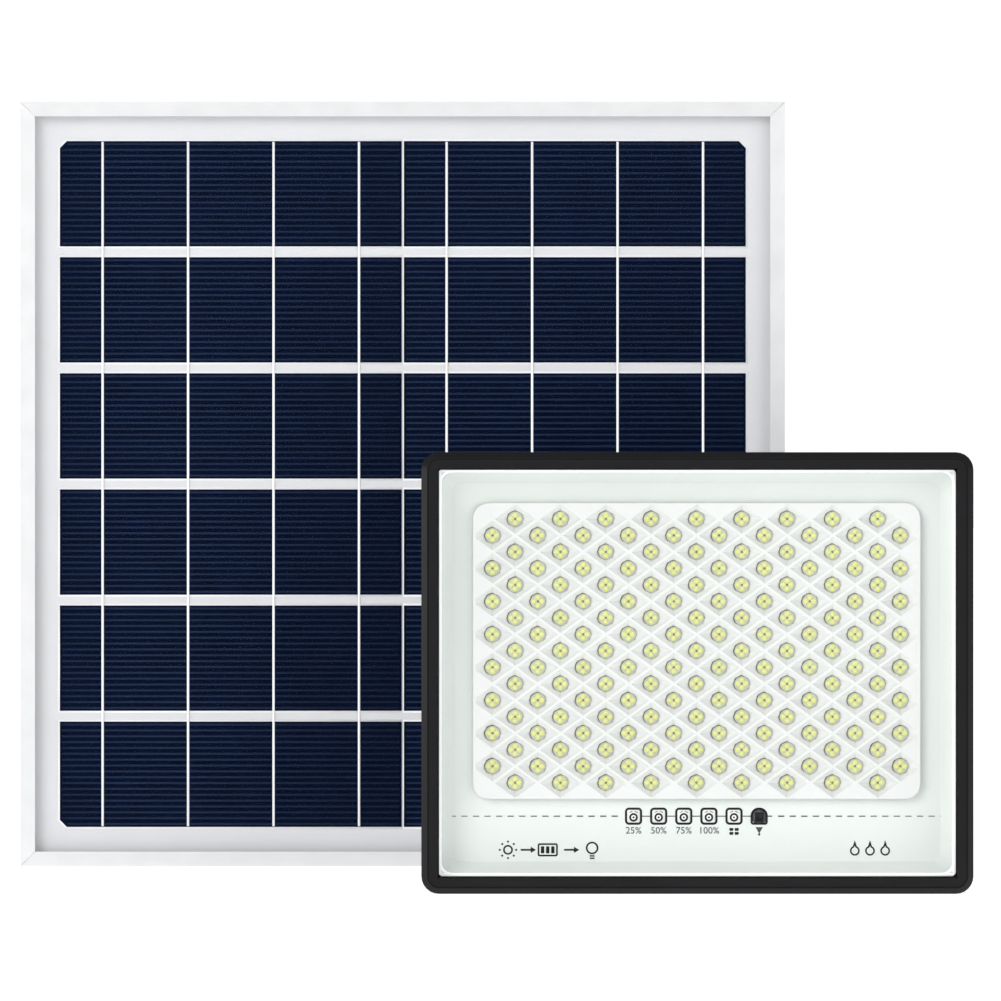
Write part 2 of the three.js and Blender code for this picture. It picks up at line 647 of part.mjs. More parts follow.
const floorW = openingW - 2 * TRAY_SLOPE;
const floorH = openingH - 2 * TRAY_SLOPE;
const slope = (TRAY_SLOPE - 0.4) / TRAY_DROP;
const bowl = flaredSlab(
  floorW, floorH, TRAY_FLOOR_R, trayY - 1, floorY, slope * (TRAY_DROP + 1),
);
const bowlOuter = flaredSlab(
  floorW + 2 * TRAY_SHEET, floorH + 2 * TRAY_SHEET, TRAY_FLOOR_R + TRAY_SHEET,
  trayY + TRAY_SHEET / 2, floorBack, slope * (TRAY_DROP + TRAY_SHEET / 2),
);
const trayHoles = Array.from({ length: INDICATORS + 1 }, (_, i) => rod(
  'y', i < INDICATORS ? 1.7 : irRadius + RUN_GAP, floorY - 1, floorBack + 1, indicatorX(i), indicatorZ, 12,
));
const windowX = gridW / 2 - GRID_SEAT;
const windowZ = gridH / 2 - GRID_SEAT;
const tray = cut(
  join(bowlOuter, roundedSlab(fitW, fitH, fitR, trayY, trayY + TRAY_SHEET)),
  bowl,
  block(-windowX, windowX, floorY - 1, floorBack + 1, gridZ - windowZ, gridZ + windowZ),
  ...trayHoles,
);
place(lamp, 'reflector_tray', tray, 'reflector');

/** The centres of the LEDs: short and long rows take turns. */
function ledCentres() {
  const centres = [];
  for (let row = 0; row < LED_ROWS; row += 1) {
    const count = LEDS_SHORT_ROW + row % 2;
    const z = gridZ + (row - (LED_ROWS - 1) / 2) * ledPitchZ;
    for (let i = 0; i < count; i += 1) centres.push([(i - (count - 1) / 2) * ledPitchX, z]);
  }
  return centres;
}

const gridBack = floorY - RUN_GAP;
const gridY = gridBack - GRID_THICK;
const pocketScale = 1 - POCKET_WALL / Math.min(ledPitchX, 2 * ledPitchZ);
const gridShape = roundedRect(gridW, gridH, 6.5, 0, gridZ);
ledCentres().forEach(([x, z]) => {
  const [a, b] = [ledPitchX / 2 * pocketScale, ledPitchZ * pocketScale];
  const edge = gridW / 2 - POCKET_EDGE;
  const [left, right] = [Math.max(x - a, -edge), Math.min(x + a, edge)];
  const [leftHalf, rightHalf] = [left, right].map((end) => b * (1 - Math.abs(end - x) / a));
  const pocket = [
    ...(leftHalf > 0.01 ? [[left, z + leftHalf], [left, z - leftHalf]] : [[left, z]]),
    [x, z - b],
    ...(rightHalf > 0.01 ? [[right, z - rightHalf], [right, z + rightHalf]] : [[right, z]]),
    [x, z + b],
  ];
  gridShape.holes.push(new THREE.Path(pocket.map(([px, pz]) => new THREE.Vector2(px, pz))));
});
place(lamp, 'lens_plate', slab(gridShape, gridY, gridBack), 'whitePlastic');

const ledPackages = ledCentres().map(([x, z]) => block(
  x - LED_WIDTH / 2, x + LED_WIDTH / 2, ledBoardY - LED_THICK, ledBoardY + 0.4,
  z - LED_HEIGHT / 2, z + LED_HEIGHT / 2,
));
const ledBoard = join(
  roundedSlab(gridW - 1, gridH - 1, 4, ledBoardY, ledBoardBack, 0, gridZ),
  ...ledPackages,
);
place(lamp, 'led_board', ledBoard, 'ledBoard');

const indicatorBoard = join(
  roundedSlab((INDICATORS + 2.4) * INDICATOR_PITCH, 9.4, 2, ledBoardY, ledBoardY + 1.2, 0, indicatorZ),
  ...Array.from({ length: INDICATORS }, (_, i) => block(
    indicatorX(i) - 1, indicatorX(i) + 1, ledBoardY - LED_THICK, ledBoardY + 0.4,
    indicatorZ - 0.6, indicatorZ + 0.6,
  )),
);
place(lamp, 'indicator_board', indicatorBoard, 'greenBoard');
const irLens = turned([
  [0, floorY - 1.9], [irRadius * 0.45, floorY - 1.7], [irRadius * 0.8, floorY - 1.1],
  [irRadius, floorY - 0.1], [irRadius, ledBoardY - SEAT_GAP], [0, ledBoardY - SEAT_GAP],
], 16);
place(lamp, 'ir_receiver', irLens, 'darkLens', indicatorX(INDICATORS), 0, indicatorZ);

place(lamp, 'heat_spreader', roundedSlab(cavityW - 4, cavityH - 4, 6, spreaderY, spreaderBack), 'aluminium');

// Rear housing: a flanged tub with the battery opening in its back.
const tubW = LAMP_WIDTH - 2 * HOUSING_INSET;
const tubH = LAMP_HEIGHT - 2 * HOUSING_INSET;
const backInner = housingBack - HOUSING_WALL;
const lampPivotZ = LAMP_PIVOT_HEIGHT - LAMP_HEIGHT / 2;
const earOuter = tubW / 2 - EAR_INSET;
const earInner = earOuter - EAR_THICK;
const earR = 10;
const portZ = PORT_RISE - tubH / 2;
const glandHoleR = GLAND_THREAD_R + RUN_GAP;
const holderLength = CELL_18650_LENGTH + 2 * (RUN_GAP + HOLDER_WALL);
const holderHeight = (BATTERY_CELLS - 1) * batteryPitch + 2 * CELL_18650_R + 2;
const windowW = holderLength + 1;
const windowH = holderHeight + 1.6;
const batteryZ = tubH / 2 - BATTERY_DROP - windowH / 2;
const coverW = windowW + 2 * COVER_MARGIN;
const coverH = windowH + 2 * COVER_MARGIN - 1;
const coverScrewX = coverW / 2 - 4.5;
const coverScrewZ = coverH / 2 - 4.5;
const flangeW = LAMP_WIDTH - 2;
const flangeH = LAMP_HEIGHT - 2;

function ears(s) {
  const [x0, x1] = s < 0 ? [-earOuter, -earInner] : [earInner, earOuter];
  return [
    block(x0, x1, housingBack - 1, lampPivotY, lampPivotZ - earR, lampPivotZ + earR),
    rod('x', earR, x0, x1, lampPivotY, lampPivotZ, 16),
  ];
}

function fins(s) {
  return Array.from({ length: FINS_PER_SIDE }, (_, i) => {
    const x = s * (tubW / 2 - 7 - 6 * i);
    return block(
      x - FIN_THICK / 2, x + FIN_THICK / 2, housingBack - 1, housingBack + FIN_HEIGHT,
      HOUSING_R + 2 - tubH / 2, tubH / 2 - HOUSING_R - 2,
    );
  });
}

const housingHoles = [
  rod('y', glandHoleR, backInner - 8, housingBack + 1, 0, portZ, 16),
  rod('y', BUTTON_R + RUN_GAP, backInner - 1, housingBack + 1, BUTTON_X, portZ, 16),
  block(
    -windowW / 2, windowW / 2, backInner - 1, housingBack + 1,
    batteryZ - windowH / 2, batteryZ + windowH / 2,
  ),
  rod('x', BOLT_R + RUN_GAP, -earOuter - 1, earOuter + 1, lampPivotY, lampPivotZ),
  ...corners.map(([sx, sz]) => (
    rod('y', HOLE_R, housingY - 1, housingY + HOUSING_FLANGE + 1, sx * screwX, sz * screwZ, 12)
  )),
  ...corners.map(([sx, sz]) => rod(
    'y', HOLE_R, backInner - 1, housingBack + 1, sx * coverScrewX, batteryZ + sz * coverScrewZ, 12,
  )),
];
const tubShell = cut(
  join(
    roundedSlab(flangeW, flangeH, BEZEL_R - 1, housingY, housingY + HOUSING_FLANGE),
    roundedSlab(tubW, tubH, HOUSING_R, housingY, housingBack),
  ),
  roundedSlab(
    tubW - 2 * HOUSING_WALL, tubH - 2 * HOUSING_WALL, HOUSING_R - HOUSING_WALL,
    housingY - 1, backInner,
  ),
);
const housing = cut(
  join(
    tubShell,
    rod('y', glandHoleR + 2.5, backInner - 5, backInner + 1, 0, portZ, 16),
    ...ears(-1), ...ears(1), ...fins(-1), ...fins(1),
  ),
  ...housingHoles,
);
place(lamp, 'rear_housing', housing, 'blackPaint');

// Battery pack, its cover and the boards behind the heat spreader.
const endWallY = batteryY + CELL_18650_R - 3;
const holder = join(
  block(
    -holderLength / 2, holderLength / 2, holderY, holderFloor,
    batteryZ - holderHeight / 2, batteryZ + holderHeight / 2,
  ),
  ...[-1, 1].map((s) => {
    const [a, b] = [s * holderLength / 2, s * (holderLength / 2 - HOLDER_WALL)];
    return block(
      Math.min(a, b), Math.max(a, b), holderY, endWallY,
      batteryZ - holderHeight / 2, batteryZ + holderHeight / 2,
    );
  }),
);
place(lamp, 'battery_holder', holder, 'blackPlastic');
const cell = turned([
  [0, -CELL_18650_LENGTH / 2], [CELL_18650_R - 0.6, -CELL_18650_LENGTH / 2],
  [CELL_18650_R, 0.6 - CELL_18650_LENGTH / 2], [CELL_18650_R, CELL_18650_LENGTH / 2 - 2.4],
  [CELL_18650_R - 0.8, CELL_18650_LENGTH / 2 - 1.2], [2.9, CELL_18650_LENGTH / 2 - 1.2],
  [2.9, CELL_18650_LENGTH / 2], [0, CELL_18650_LENGTH / 2],
], 16);
for (let i = 0; i < BATTERY_CELLS; i += 1) {
  const z = batteryZ + (i - (BATTERY_CELLS - 1) / 2) * batteryPitch;
  const mesh = place(lamp, `battery_cell_${i + 1}`, cell, 'cellWrap', 0, batteryY, z);
  mesh.rotation.z = i % 2 === 0 ? Math.PI / 2 : -Math.PI / 2;
}

const boardY = housingY + 3.7;
const boardBack = boardY + BOARD_THICK;
const boardLeft = BOARD_INSET - tubW / 2;
const boardRight = BUTTON_X + 15;
const boardLow = BOARD_INSET - tubH / 2;
const boardHigh = batteryZ - holderHeight / 2 - BOARD_GAP;
const boardH = boardHigh - boardLow;
const boardMiddle = (boardLow + boardHigh) / 2;
const onBoard = (x, w, z, h, tall) => block(
  x - w / 2, x + w / 2, boardBack - 0.5, boardBack + tall,
  boardMiddle + boardH * z - h / 2, boardMiddle + boardH * z + h / 2,
);
const boardX = (boardLeft + boardRight) / 2;
const controlBoard = join(
  roundedSlab(boardRight - boardLeft, boardH, 2, boardY, boardBack, boardX, boardMiddle),
  onBoard(boardLeft + 14, 12, 0.2, 12, 6),
  onBoard(boardLeft + 34, 8, 0.22, 8, 1.6),
  onBoard(boardLeft + 52, 6, 0.25, 10, 4.5),
  onBoard(boardLeft + 36, 10, -0.22, 6, 2.2),
  onBoard(boardLeft + 56, 7.5, -0.22, 9, 7),
  onBoard(boardLeft + 128, 8, 0.28, 5, 3),
  rod('y', 4, boardBack - 0.5, boardBack + 10, boardLeft + 14, boardMiddle - boardH * 0.22, 16),
  block(BUTTON_X - 3, BUTTON_X + 3, boardBack - 0.5, boardBack + 3.5, portZ - 3, portZ + 3),
  rod('y', 1.7, boardBack + 3, boardBack + 7.6, BUTTON_X, portZ, 12),
);
place(lamp, 'control_board', controlBoard, 'greenBoard');

const leadPath = new THREE.CatmullRomCurve3([
  new THREE.Vector3(-holderLength / 2 - 1.6, batteryY, batteryZ - holderHeight / 2 + 8),
  new THREE.Vector3(-holderLength / 2 - 5, batteryY, batteryZ - holderHeight / 2),
  new THREE.Vector3(-holderLength / 2 - 6, batteryY, batteryZ - holderHeight / 2 - 8),
  new THREE.Vector3(-holderLength / 2 - 6, batteryY - 3, boardHigh + 1),
]);
const leadShape = new THREE.Shape().absarc(0, 0, 1.1, 0, Math.PI * 2);
const lead = new THREE.ExtrudeGeometry(leadShape, { extrudePath: leadPath, steps: 12, curveSegments: 4 });
place(lamp, 'battery_lead', lead, 'redLead');

const coverHoles = (y0, y1) => corners.map(([sx, sz]) => (
  rod('y', HOLE_R, y0, y1, sx * coverScrewX, batteryZ + sz * coverScrewZ, 12)
));
const coverGasketY = housingBack + SEAT_GAP;
const coverY = coverGasketY + COVER_GASKET + SEAT_GAP;
const coverBack = coverY + COVER_THICK;
const coverGasket = cut(
  roundedSlab(coverW - 1, coverH - 1, 4, coverGasketY, coverGasketY + COVER_GASKET, 0, batteryZ),
  roundedSlab(windowW + 1, windowH + 1, 2, coverGasketY - 1, coverY, 0, batteryZ),
  ...coverHoles(coverGasketY - 1, coverY),
);
place(lamp, 'cover_gasket', coverGasket, 'rubber');
const cover = cut(
  join(
    roundedSlab(coverW, coverH, 5, coverY, coverBack, 0, batteryZ),
    roundedSlab(coverW - 24, coverH - 24, 4, coverBack - 1, coverBack + 1, 0, batteryZ),
  ),
  ...coverHoles(coverY - 1, coverBack + 1),
);
place(lamp, 'battery_cover', cover, 'blackPaint');

const coverScrew = screwGeometry(8);
const housingScrew = screwGeometry(10.5);
corners.forEach(([sx, sz], i) => {
  place(
    lamp, `cover_screw_${i + 1}`, coverScrew, 'zinc',
    sx * coverScrewX, coverBack + SEAT_GAP, batteryZ + sz * coverScrewZ,
  );
  place(
    lamp, `housing_screw_${i + 1}`, housingScrew, 'zinc',
    sx * screwX, housingY + HOUSING_FLANGE + SEAT_GAP, sz * screwZ,
  );
});

const lampGland = glandGeometry(GLAND_THREAD_R, GLAND_BORE_R, HOUSING_WALL + 5, GLAND_THREAD_R + 3);
place(lamp, 'cable_gland', lampGland, 'blackPlastic', 0, housingBack + SEAT_GAP, portZ);

// The push button: its flange is held behind the back wall, and the collar guards it.
const collarY = housingBack + SEAT_GAP;
const collar = cut(
  turned([
    [0, collarY], [BUTTON_R + 3.6, collarY], [BUTTON_R + 3.6, collarY + 1.6],
    [BUTTON_R + 2.4, collarY + 2.6], [0, collarY + 2.6],
  ], 16),
  rod('y', BUTTON_R + RUN_GAP, collarY - 1, collarY + 4, 0, 0, 16),
);
place(lamp, 'button_collar', collar, 'blackPlastic', BUTTON_X, 0, portZ);
const buttonStem = boardBack + 7.6 + BUTTON_TRAVEL + RUN_GAP;
const flangeBack = backInner - RUN_GAP;
const button = turned([
  [0, buttonStem], [3, buttonStem], [3, flangeBack - 1.2], [BUTTON_R + 1.4, flangeBack - 1.2],
  [BUTTON_R + 1.4, flangeBack], [BUTTON_R, flangeBack], [BUTTON_R, housingBack + 3.6],
  [BUTTON_R - 0.7, housingBack + 4.3], [0, housingBack + 4.5],
], 16);
place(lamp, 'power_button', button, 'redButton', BUTTON_X, 0, portZ);

// The lamp's bracket, with its arms outside the ears.
const lampArmInner = earOuter + RUN_GAP;
const lampArmOuter = lampArmInner + BAR_THICK;
const lampBracket = bracketGeometry(2 * lampArmOuter, lampLength);
const lampBracketMesh = place(lamp, 'lamp_bracket', lampBracket, 'blackPaint', 0, lampPivotY, lampPivotZ);
lampBracketMesh.rotation.x = BRACKET_ANGLE;
[-1, 1].forEach((s) => placePivot(lamp, 'lamp', s, lampArmOuter, earInner, lampPivotY, lampPivotZ));

export default group;
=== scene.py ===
"""Solar flood light: finishes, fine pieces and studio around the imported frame."""

import logging
import math
from dataclasses import dataclass
from enum import Enum
from typing import Callable, Iterable, Sequence

import bmesh
import bpy
from mathutils import Matrix, Vector


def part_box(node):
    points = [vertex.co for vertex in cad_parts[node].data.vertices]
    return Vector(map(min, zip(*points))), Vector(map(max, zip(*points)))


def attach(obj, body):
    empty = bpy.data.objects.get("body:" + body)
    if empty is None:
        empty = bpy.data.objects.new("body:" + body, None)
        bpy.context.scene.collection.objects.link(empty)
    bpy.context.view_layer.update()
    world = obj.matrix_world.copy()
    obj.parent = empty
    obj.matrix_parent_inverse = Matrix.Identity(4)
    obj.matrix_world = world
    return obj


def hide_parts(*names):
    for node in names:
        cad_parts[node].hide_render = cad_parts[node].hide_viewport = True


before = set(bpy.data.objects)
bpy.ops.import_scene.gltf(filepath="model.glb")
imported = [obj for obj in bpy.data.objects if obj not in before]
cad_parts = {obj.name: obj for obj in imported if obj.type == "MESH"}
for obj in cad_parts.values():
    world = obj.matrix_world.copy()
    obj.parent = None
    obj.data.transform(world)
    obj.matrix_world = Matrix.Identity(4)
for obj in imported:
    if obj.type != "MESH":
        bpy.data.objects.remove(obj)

LOG = logging.getLogger("flood_light")
MM = 0.001
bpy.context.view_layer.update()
PANEL = "solar_panel"
LAMP = "lamp_head"
SHARP_ANGLE = math.radians(35)
FLAT_FACE = 0.9999
MERGE = 2e-6
SAME_PLACE = 1e-6
ROUGHNESS_SPREAD = 0.07
LEAST_ROUGHNESS = 0.02
BROAD_SHARE = 28.0
GRAIN_HEIGHT = 0.1 * MM
FINE_SHARE = 0.35
TONE_STOPS = (0.45, 0.9)
FLAT_ANGLE = math.radians(0.5)


# ---- Finishes ----


class Grain(Enum):
    """How a finish's fine pattern lies on the surface, as its scale along X, Y and Z."""

    CAST = (1.0, 1.0, 1.0)
    ALONG_X = (0.02, 1.0, 1.0)
    ALONG_Z = (1.0, 1.0, 0.02)
    PEEL = (1.0, 1.0, 1.0001)


@dataclass
class Tree:
    """A material's nodes and links, its surface shader, and its coarse and fine noise."""

    nodes: bpy.types.Nodes
    links: bpy.types.NodeLinks
    shader: bpy.types.Node
    broad: bpy.types.Node
    fine: bpy.types.Node


@dataclass(frozen=True)
class Finish:
    """A procedural surface: a base colour with mottling, fine grain and worn gloss."""

    name: str
    colour: tuple[float, float, float]
    roughness: float = 0.5
    grain_size: float = 900.0
    grain_depth: float = 0.15
    mottle: float = 0.06
    metallic: float = 0.0
    grain: Grain = Grain.CAST
    specular: float = 0.5
    alpha: float = 1.0
    emission: float = 0.0

    def material(self) -> bpy.types.Material:
        """Builds the finish once.

        Returns:
            The material, shared by every piece that wears this finish.
        """
        found = bpy.data.materials.get(self.name)
        if found is not None:
            return found
        material = bpy.data.materials.new(self.name)
        material.use_nodes = True
        nodes, links = material.node_tree.nodes, material.node_tree.links
        shader = nodes["Principled BSDF"]
        shader.inputs["Metallic"].default_value = self.metallic
        shader.inputs["Specular IOR Level"].default_value = self.specular
        shader.inputs["Alpha"].default_value = self.alpha
        # Emission makes a surface glow in its own colour: painted light on every surface here that is no
        # lamp, save the floor, which glows only to stay evenly white.
        if self.emission:
            shader.inputs["Emission Color"].default_value = (*self.colour, 1.0)
            shader.inputs["Emission Strength"].default_value = self.emission
        place = nodes.new("ShaderNodeTexCoord")
        stretch = nodes.new("ShaderNodeMapping")
        stretch.inputs["Scale"].default_value = self.grain.value
        links.new(place.outputs["Object"], stretch.inputs["Vector"])
        fine = self.noise(nodes, self.grain_size, 3.0)
        links.new(stretch.outputs["Vector"], fine.inputs["Vector"])
        broad = self.noise(nodes, self.grain_size / BROAD_SHARE, 4.0)
        links.new(place.outputs["Object"], broad.inputs["Vector"])
        tree = Tree(nodes, links, shader, broad, fine)
        self.paint(tree)
        self.gloss(tree)
        bump = nodes.new("ShaderNodeBump")
        bump.inputs["Strength"].default_value = self.grain_depth
        bump.inputs["Distance"].default_value = GRAIN_HEIGHT
        links.new(fine.outputs["Fac"], bump.inputs["Height"])
        links.new(bump.outputs["Normal"], shader.inputs["Normal"])
        return material

    @staticmethod
    def noise(nodes: bpy.types.Nodes, scale: float, detail: float) -> bpy.types.Node:
        """Adds a noise texture.

        Args:
            nodes: The material's nodes.
            scale: How many grains fit in a metre.
            detail: How many octaves it has.

        Returns:
            The texture node.
        """
        noise = nodes.new("ShaderNodeTexNoise")
        noise.inputs["Scale"].default_value = scale
        noise.inputs["Detail"].default_value = detail
        return noise

    def tone(self, gain: float) -> tuple[float, float, float, float]:
        """The finish's colour, lighter or darker by a gain."""
        return (*(min(1.0, max(0.0, c * gain)) for c in self.colour), 1.0)

    def paint(self, tree: Tree) -> None:
        """Mixes a lighter and a darker tone by both noises into the base colour."""
        blend = tree.nodes.new("ShaderNodeMath")
        blend.operation = "MULTIPLY_ADD"
        blend.inputs[1].default_value = FINE_SHARE
        tree.links.new(tree.fine.outputs["Fac"], blend.inputs[0])
        tree.links.new(tree.broad.outputs["Fac"], blend.inputs[2])
        ramp = tree.nodes.new("ShaderNodeValToRGB")
        gains = (1.0 - self.mottle, 1.0 + self.mottle)
        for stop, place, gain in zip(ramp.color_ramp.elements, TONE_STOPS, gains):
            stop.position = place
            stop.color = self.tone(gain)
        tree.links.new(blend.outputs[0], ramp.inputs["Fac"])
        tree.links.new(ramp.outputs["Color"], tree.shader.inputs["Base Color"])

    def gloss(self, tree: Tree) -> None:
        """Varies roughness a little around the finish's own value."""
        spread = tree.nodes.new("ShaderNodeMapRange")
        spread.inputs["To Min"].default_value = max(LEAST_ROUGHNESS, self.roughness - ROUGHNESS_SPREAD)
        spread.inputs["To Max"].default_value = min(1.0, self.roughness + ROUGHNESS_SPREAD)
        tree.links.new(tree.broad.outputs["Fac"], spread.inputs["Value"])
        tree.links.new(spread.outputs["Result"], tree.shader.inputs["Roughness"])


@dataclass(frozen=True)
class SiliconFinish(Finish):
    """Dark blue multicrystalline silicon: angular grains of slightly different blue."""

    crystals: float = 110.0
    shades: tuple[float, float] = (0.85, 1.25)

    def paint(self, tree: Tree) -> None:
        """Colours each crystal from a narrow range of blues."""
        place = tree.nodes.new("ShaderNodeTexCoord")
        crystals = tree.nodes.new("ShaderNodeTexVoronoi")
        crystals.inputs["Scale"].default_value = self.crystals
        tree.links.new(place.outputs["Object"], crystals.inputs["Vector"])
        grey = tree.nodes.new("ShaderNodeRGBToBW")
        tree.links.new(crystals.outputs["Color"], grey.inputs["Color"])
        ramp = tree.nodes.new("ShaderNodeValToRGB")
        for stop, gain in zip(ramp.color_ramp.elements, self.shades):
            stop.color = self.tone(gain)
        tree.links.new(grey.outputs["Val"], ramp.inputs["Fac"])
        tree.links.new(ramp.outputs["Color"], tree.shader.inputs["Base Color"])


@dataclass(frozen=True)
class BoardFinish(Finish):
    """Solder mask over copper tracks, which show as lighter blocky lines."""

    tracks: float = 70.0
    track_width: float = 0.03
    shades: tuple[float, float, float] = (0.9, 1.1, 1.8)

    def paint(self, tree: Tree) -> None:
        """Draws tracks with a brick pattern over the mask's colour."""
        place = tree.nodes.new("ShaderNodeTexCoord")
        turn = tree.nodes.new("ShaderNodeMapping")
        turn.inputs["Rotation"].default_value = (math.radians(90), 0.0, 0.0)
        tracks = tree.nodes.new("ShaderNodeTexBrick")
        tracks.inputs["Scale"].default_value = self.tracks
        tracks.inputs["Mortar Size"].default_value = self.track_width
        for part, gain in zip(("Color1", "Color2", "Mortar"), self.shades):
            tracks.inputs[part].default_value = self.tone(gain)
        tree.links.new(place.outputs["Object"], turn.inputs["Vector"])
        tree.links.new(turn.outputs["Vector"], tracks.inputs["Vector"])
        tree.links.new(tracks.outputs["Color"], tree.shader.inputs["Base Color"])


# Painted light: the left and right members are a shade lighter than the top and bottom ones, evening out how
# the light falls on one anodised frame.
ANODISED_X = Finish("anodised_rails", (0.685, 0.685, 0.69), 0.45, 2600, 0.10, 0.03, 0.3, Grain.ALONG_X)
ANODISED_Z = Finish("anodised_stiles", (0.715, 0.715, 0.72), 0.45, 2600, 0.10, 0.03, 0.3, Grain.ALONG_Z)
ZINC = Finish("zinc_plate", (0.60, 0.61, 0.63), 0.32, 420, 0.12, 0.10, metallic=0.95)
BLACK_COAT = Finish(
    "black_powder_coat", (0.0085, 0.0085, 0.0095), 0.36, 1500, 0.25, 0.10, grain=Grain.PEEL, specular=0.13,
)
BLACK_PLASTIC = Finish("black_moulding", (0.018, 0.018, 0.019), 0.5, 1200, 0.2, 0.10)
CLEAR_PANEL = Finish("clear_panel_cover", (0.02, 0.03, 0.04), 0.3, 700, 0.0, 0.05, specular=0.0, alpha=0.03)
CLEAR_LAMP = Finish("clear_lamp_cover", (0.10, 0.12, 0.12), 0.3, 700, 0.0, 0.05, specular=0.0, alpha=0.03)
SILICON = SiliconFinish("blue_silicon", (0.0003, 0.0025, 0.0148), 0.4, 900, 0.05, specular=0.03)
FINGER = Finish("silver_fingers", (0.010, 0.021, 0.056), 0.5, 2600, 0.0, 0.12, specular=0.05)
# Painted light: the ribbons glow a little, which keeps their shadows from showing across the white gaps.
RIBBON = Finish("tinned_ribbon", (0.96, 0.96, 0.97), 0.5, 2600, 0.1, 0.03, grain=Grain.ALONG_Z, emission=0.12)
# Painted light: the backsheet glows, which lifts the shade that the frame's lip casts round its edges.
BACKSHEET = Finish("white_backsheet", (0.59, 0.595, 0.61), 0.6, 1600, 0.12, 0.02, emission=0.27)
# Painted light: the white lines round the cells glow a little.
CELL_EDGE = Finish("cell_edge_white", (0.95, 0.95, 0.97), 0.6, 1600, 0.05, 0.02, emission=0.12)
RUBBER = Finish("black_silicone", (0.005, 0.005, 0.005), 0.8, 900, 0.3, 0.1, specular=0.1)
TRAY = Finish("tray_white", (0.775, 0.815, 0.785), 0.38, 500, 0.05, 0.02)
# Painted light: the tray's edge line glows as a painted highlight, and its corner fills cover the shade in
# the bowl's corners.
TRAY_EDGE = Finish("tray_edge_white", (0.95, 0.97, 0.97), 0.35, 500, 0.05, 0.02, emission=0.45)
PLATE = Finish("plate_white", (0.765, 0.78, 0.765), 0.4, 500, 0.05, 0.02)
LED_BOARD = Finish("white_solder_mask", (0.80, 0.80, 0.78), 0.4, 700, 0.1, 0.03)
DOME = Finish("clear_dome", (0.80, 0.80, 0.76), 0.1, 700, 0.02, 0.03, alpha=0.05)
PHOSPHOR = Finish("pale_yellow_phosphor", (0.74, 0.78, 0.27), 0.5, 3000, 0.1, 0.05, emission=0.05)
# Painted shadow: dark discs that show as an arc at the upper left of each LED seat.
DOME_SHADOW = Finish("painted_dome_shadow", (0.20, 0.20, 0.16), 0.5, 3000, 0.1, 0.1)
SEAT = Finish("dome_seat", (0.64, 0.65, 0.54), 0.4, 3000, 0.1, 0.05)
CHIP = Finish("led_chip", (0.20, 0.16, 0.07), 0.4, 3000, 0.1, 0.1)
ALUMINIUM = Finish("mill_aluminium", (0.70, 0.71, 0.72), 0.4, 2200, 0.12, 0.06, 0.9, Grain.ALONG_X)
GREEN_BOARD = BoardFinish("green_solder_mask", (0.015, 0.11, 0.045), 0.4, 900, 0.1, 0.05)
DARK_LENS = Finish("smoked_lens", (0.10, 0.10, 0.105), 0.2, 900, 0.02, 0.2, specular=0.12)
CELL_WRAP = Finish("blue_shrink_wrap", (0.02, 0.20, 0.45), 0.3, 700, 0.1, 0.08)
RED_LEAD = Finish("red_insulation", (0.45, 0.02, 0.015), 0.45, 900, 0.1, 0.08)
RED_BUTTON = Finish("red_silicone", (0.42, 0.025, 0.02), 0.45, 1200, 0.2, 0.06)
INK = Finish("black_print", (0.006, 0.006, 0.006), 0.5, 2600, 0.1, 0.2, specular=0.2)
GREY_INK = Finish("grey_print", (0.055, 0.057, 0.055), 0.5, 2600, 0.1, 0.2)
WINDOW = Finish("pale_window", (0.90, 0.91, 0.90), 0.35, 900, 0.05, 0.02)
FLOOR = Finish("pale_floor", (0.93, 0.93, 0.93), 0.9, 40.0, 0.0, 0.004, specular=0.0, emission=0.8)


# ---- Piece making ----


def box_of(node: str) -> tuple[Vector, Vector]:
    """The lowest and highest corners of a CAD node."""
    low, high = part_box(node)
    return Vector(low), Vector(high)


def add_piece(
    name: str, work: bmesh.types.BMesh, finish: Finish, body: str, replaces: Sequence[str] = (),
    smooth: bool = False,
) -> bpy.types.Object:
    """Turns a finished bmesh into a piece that rides on a body.

    Args:
        name: The piece's name.
        work: The bmesh, which is freed here.
        finish: What it is made of.
        body: The CAD body that carries it.
        replaces: CAD nodes it stands for.
        smooth: Whether gentle edges are shaded smooth.

    Returns:
        The new object.
    """
    bmesh.ops.recalc_face_normals(work, faces=work.faces)
    mesh = bpy.data.meshes.new(name)
    work.to_mesh(mesh)
    work.free()
    for stale in ("custom_normal", "sharp_edge", "sharp_face"):
        if stale in mesh.attributes:
            mesh.attributes.remove(mesh.attributes[stale])
    piece = bpy.data.objects.new(name, mesh)
    bpy.context.scene.collection.objects.link(piece)
    mesh.materials.append(finish.material())
    if smooth:
        mesh.shade_smooth()
        mesh.set_sharp_from_angle(angle=SHARP_ANGLE)
        for polygon in mesh.polygons:
            if max(abs(part) for part in polygon.normal) > FLAT_FACE:
                polygon.use_smooth = False
    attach(piece, body)
    if replaces:
        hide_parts(*replaces)
    LOG.info("%s rides on %s: %d faces", name, body, len(mesh.polygons))
    return piece


def dress(finish: Finish, *nodes: str) -> None:
    """Gives CAD nodes that stay in view a procedural finish."""
    for node in nodes:
        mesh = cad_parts[node].data
        mesh.materials.clear()
        mesh.materials.append(finish.material())
        LOG.info("%s is finished in %s", node, finish.name)


def add_block(work: bmesh.types.BMesh, low: Sequence[float], high: Sequence[float]) -> list:
    """Adds a box between two corners and returns its vertices."""
    low, high = Vector(low), Vector(high)
    size = Matrix.Diagonal((*(high - low), 1.0))
    made = bmesh.ops.create_cube(work, size=1.0, matrix=Matrix.Translation((low + high) / 2) @ size)
    return made["verts"]


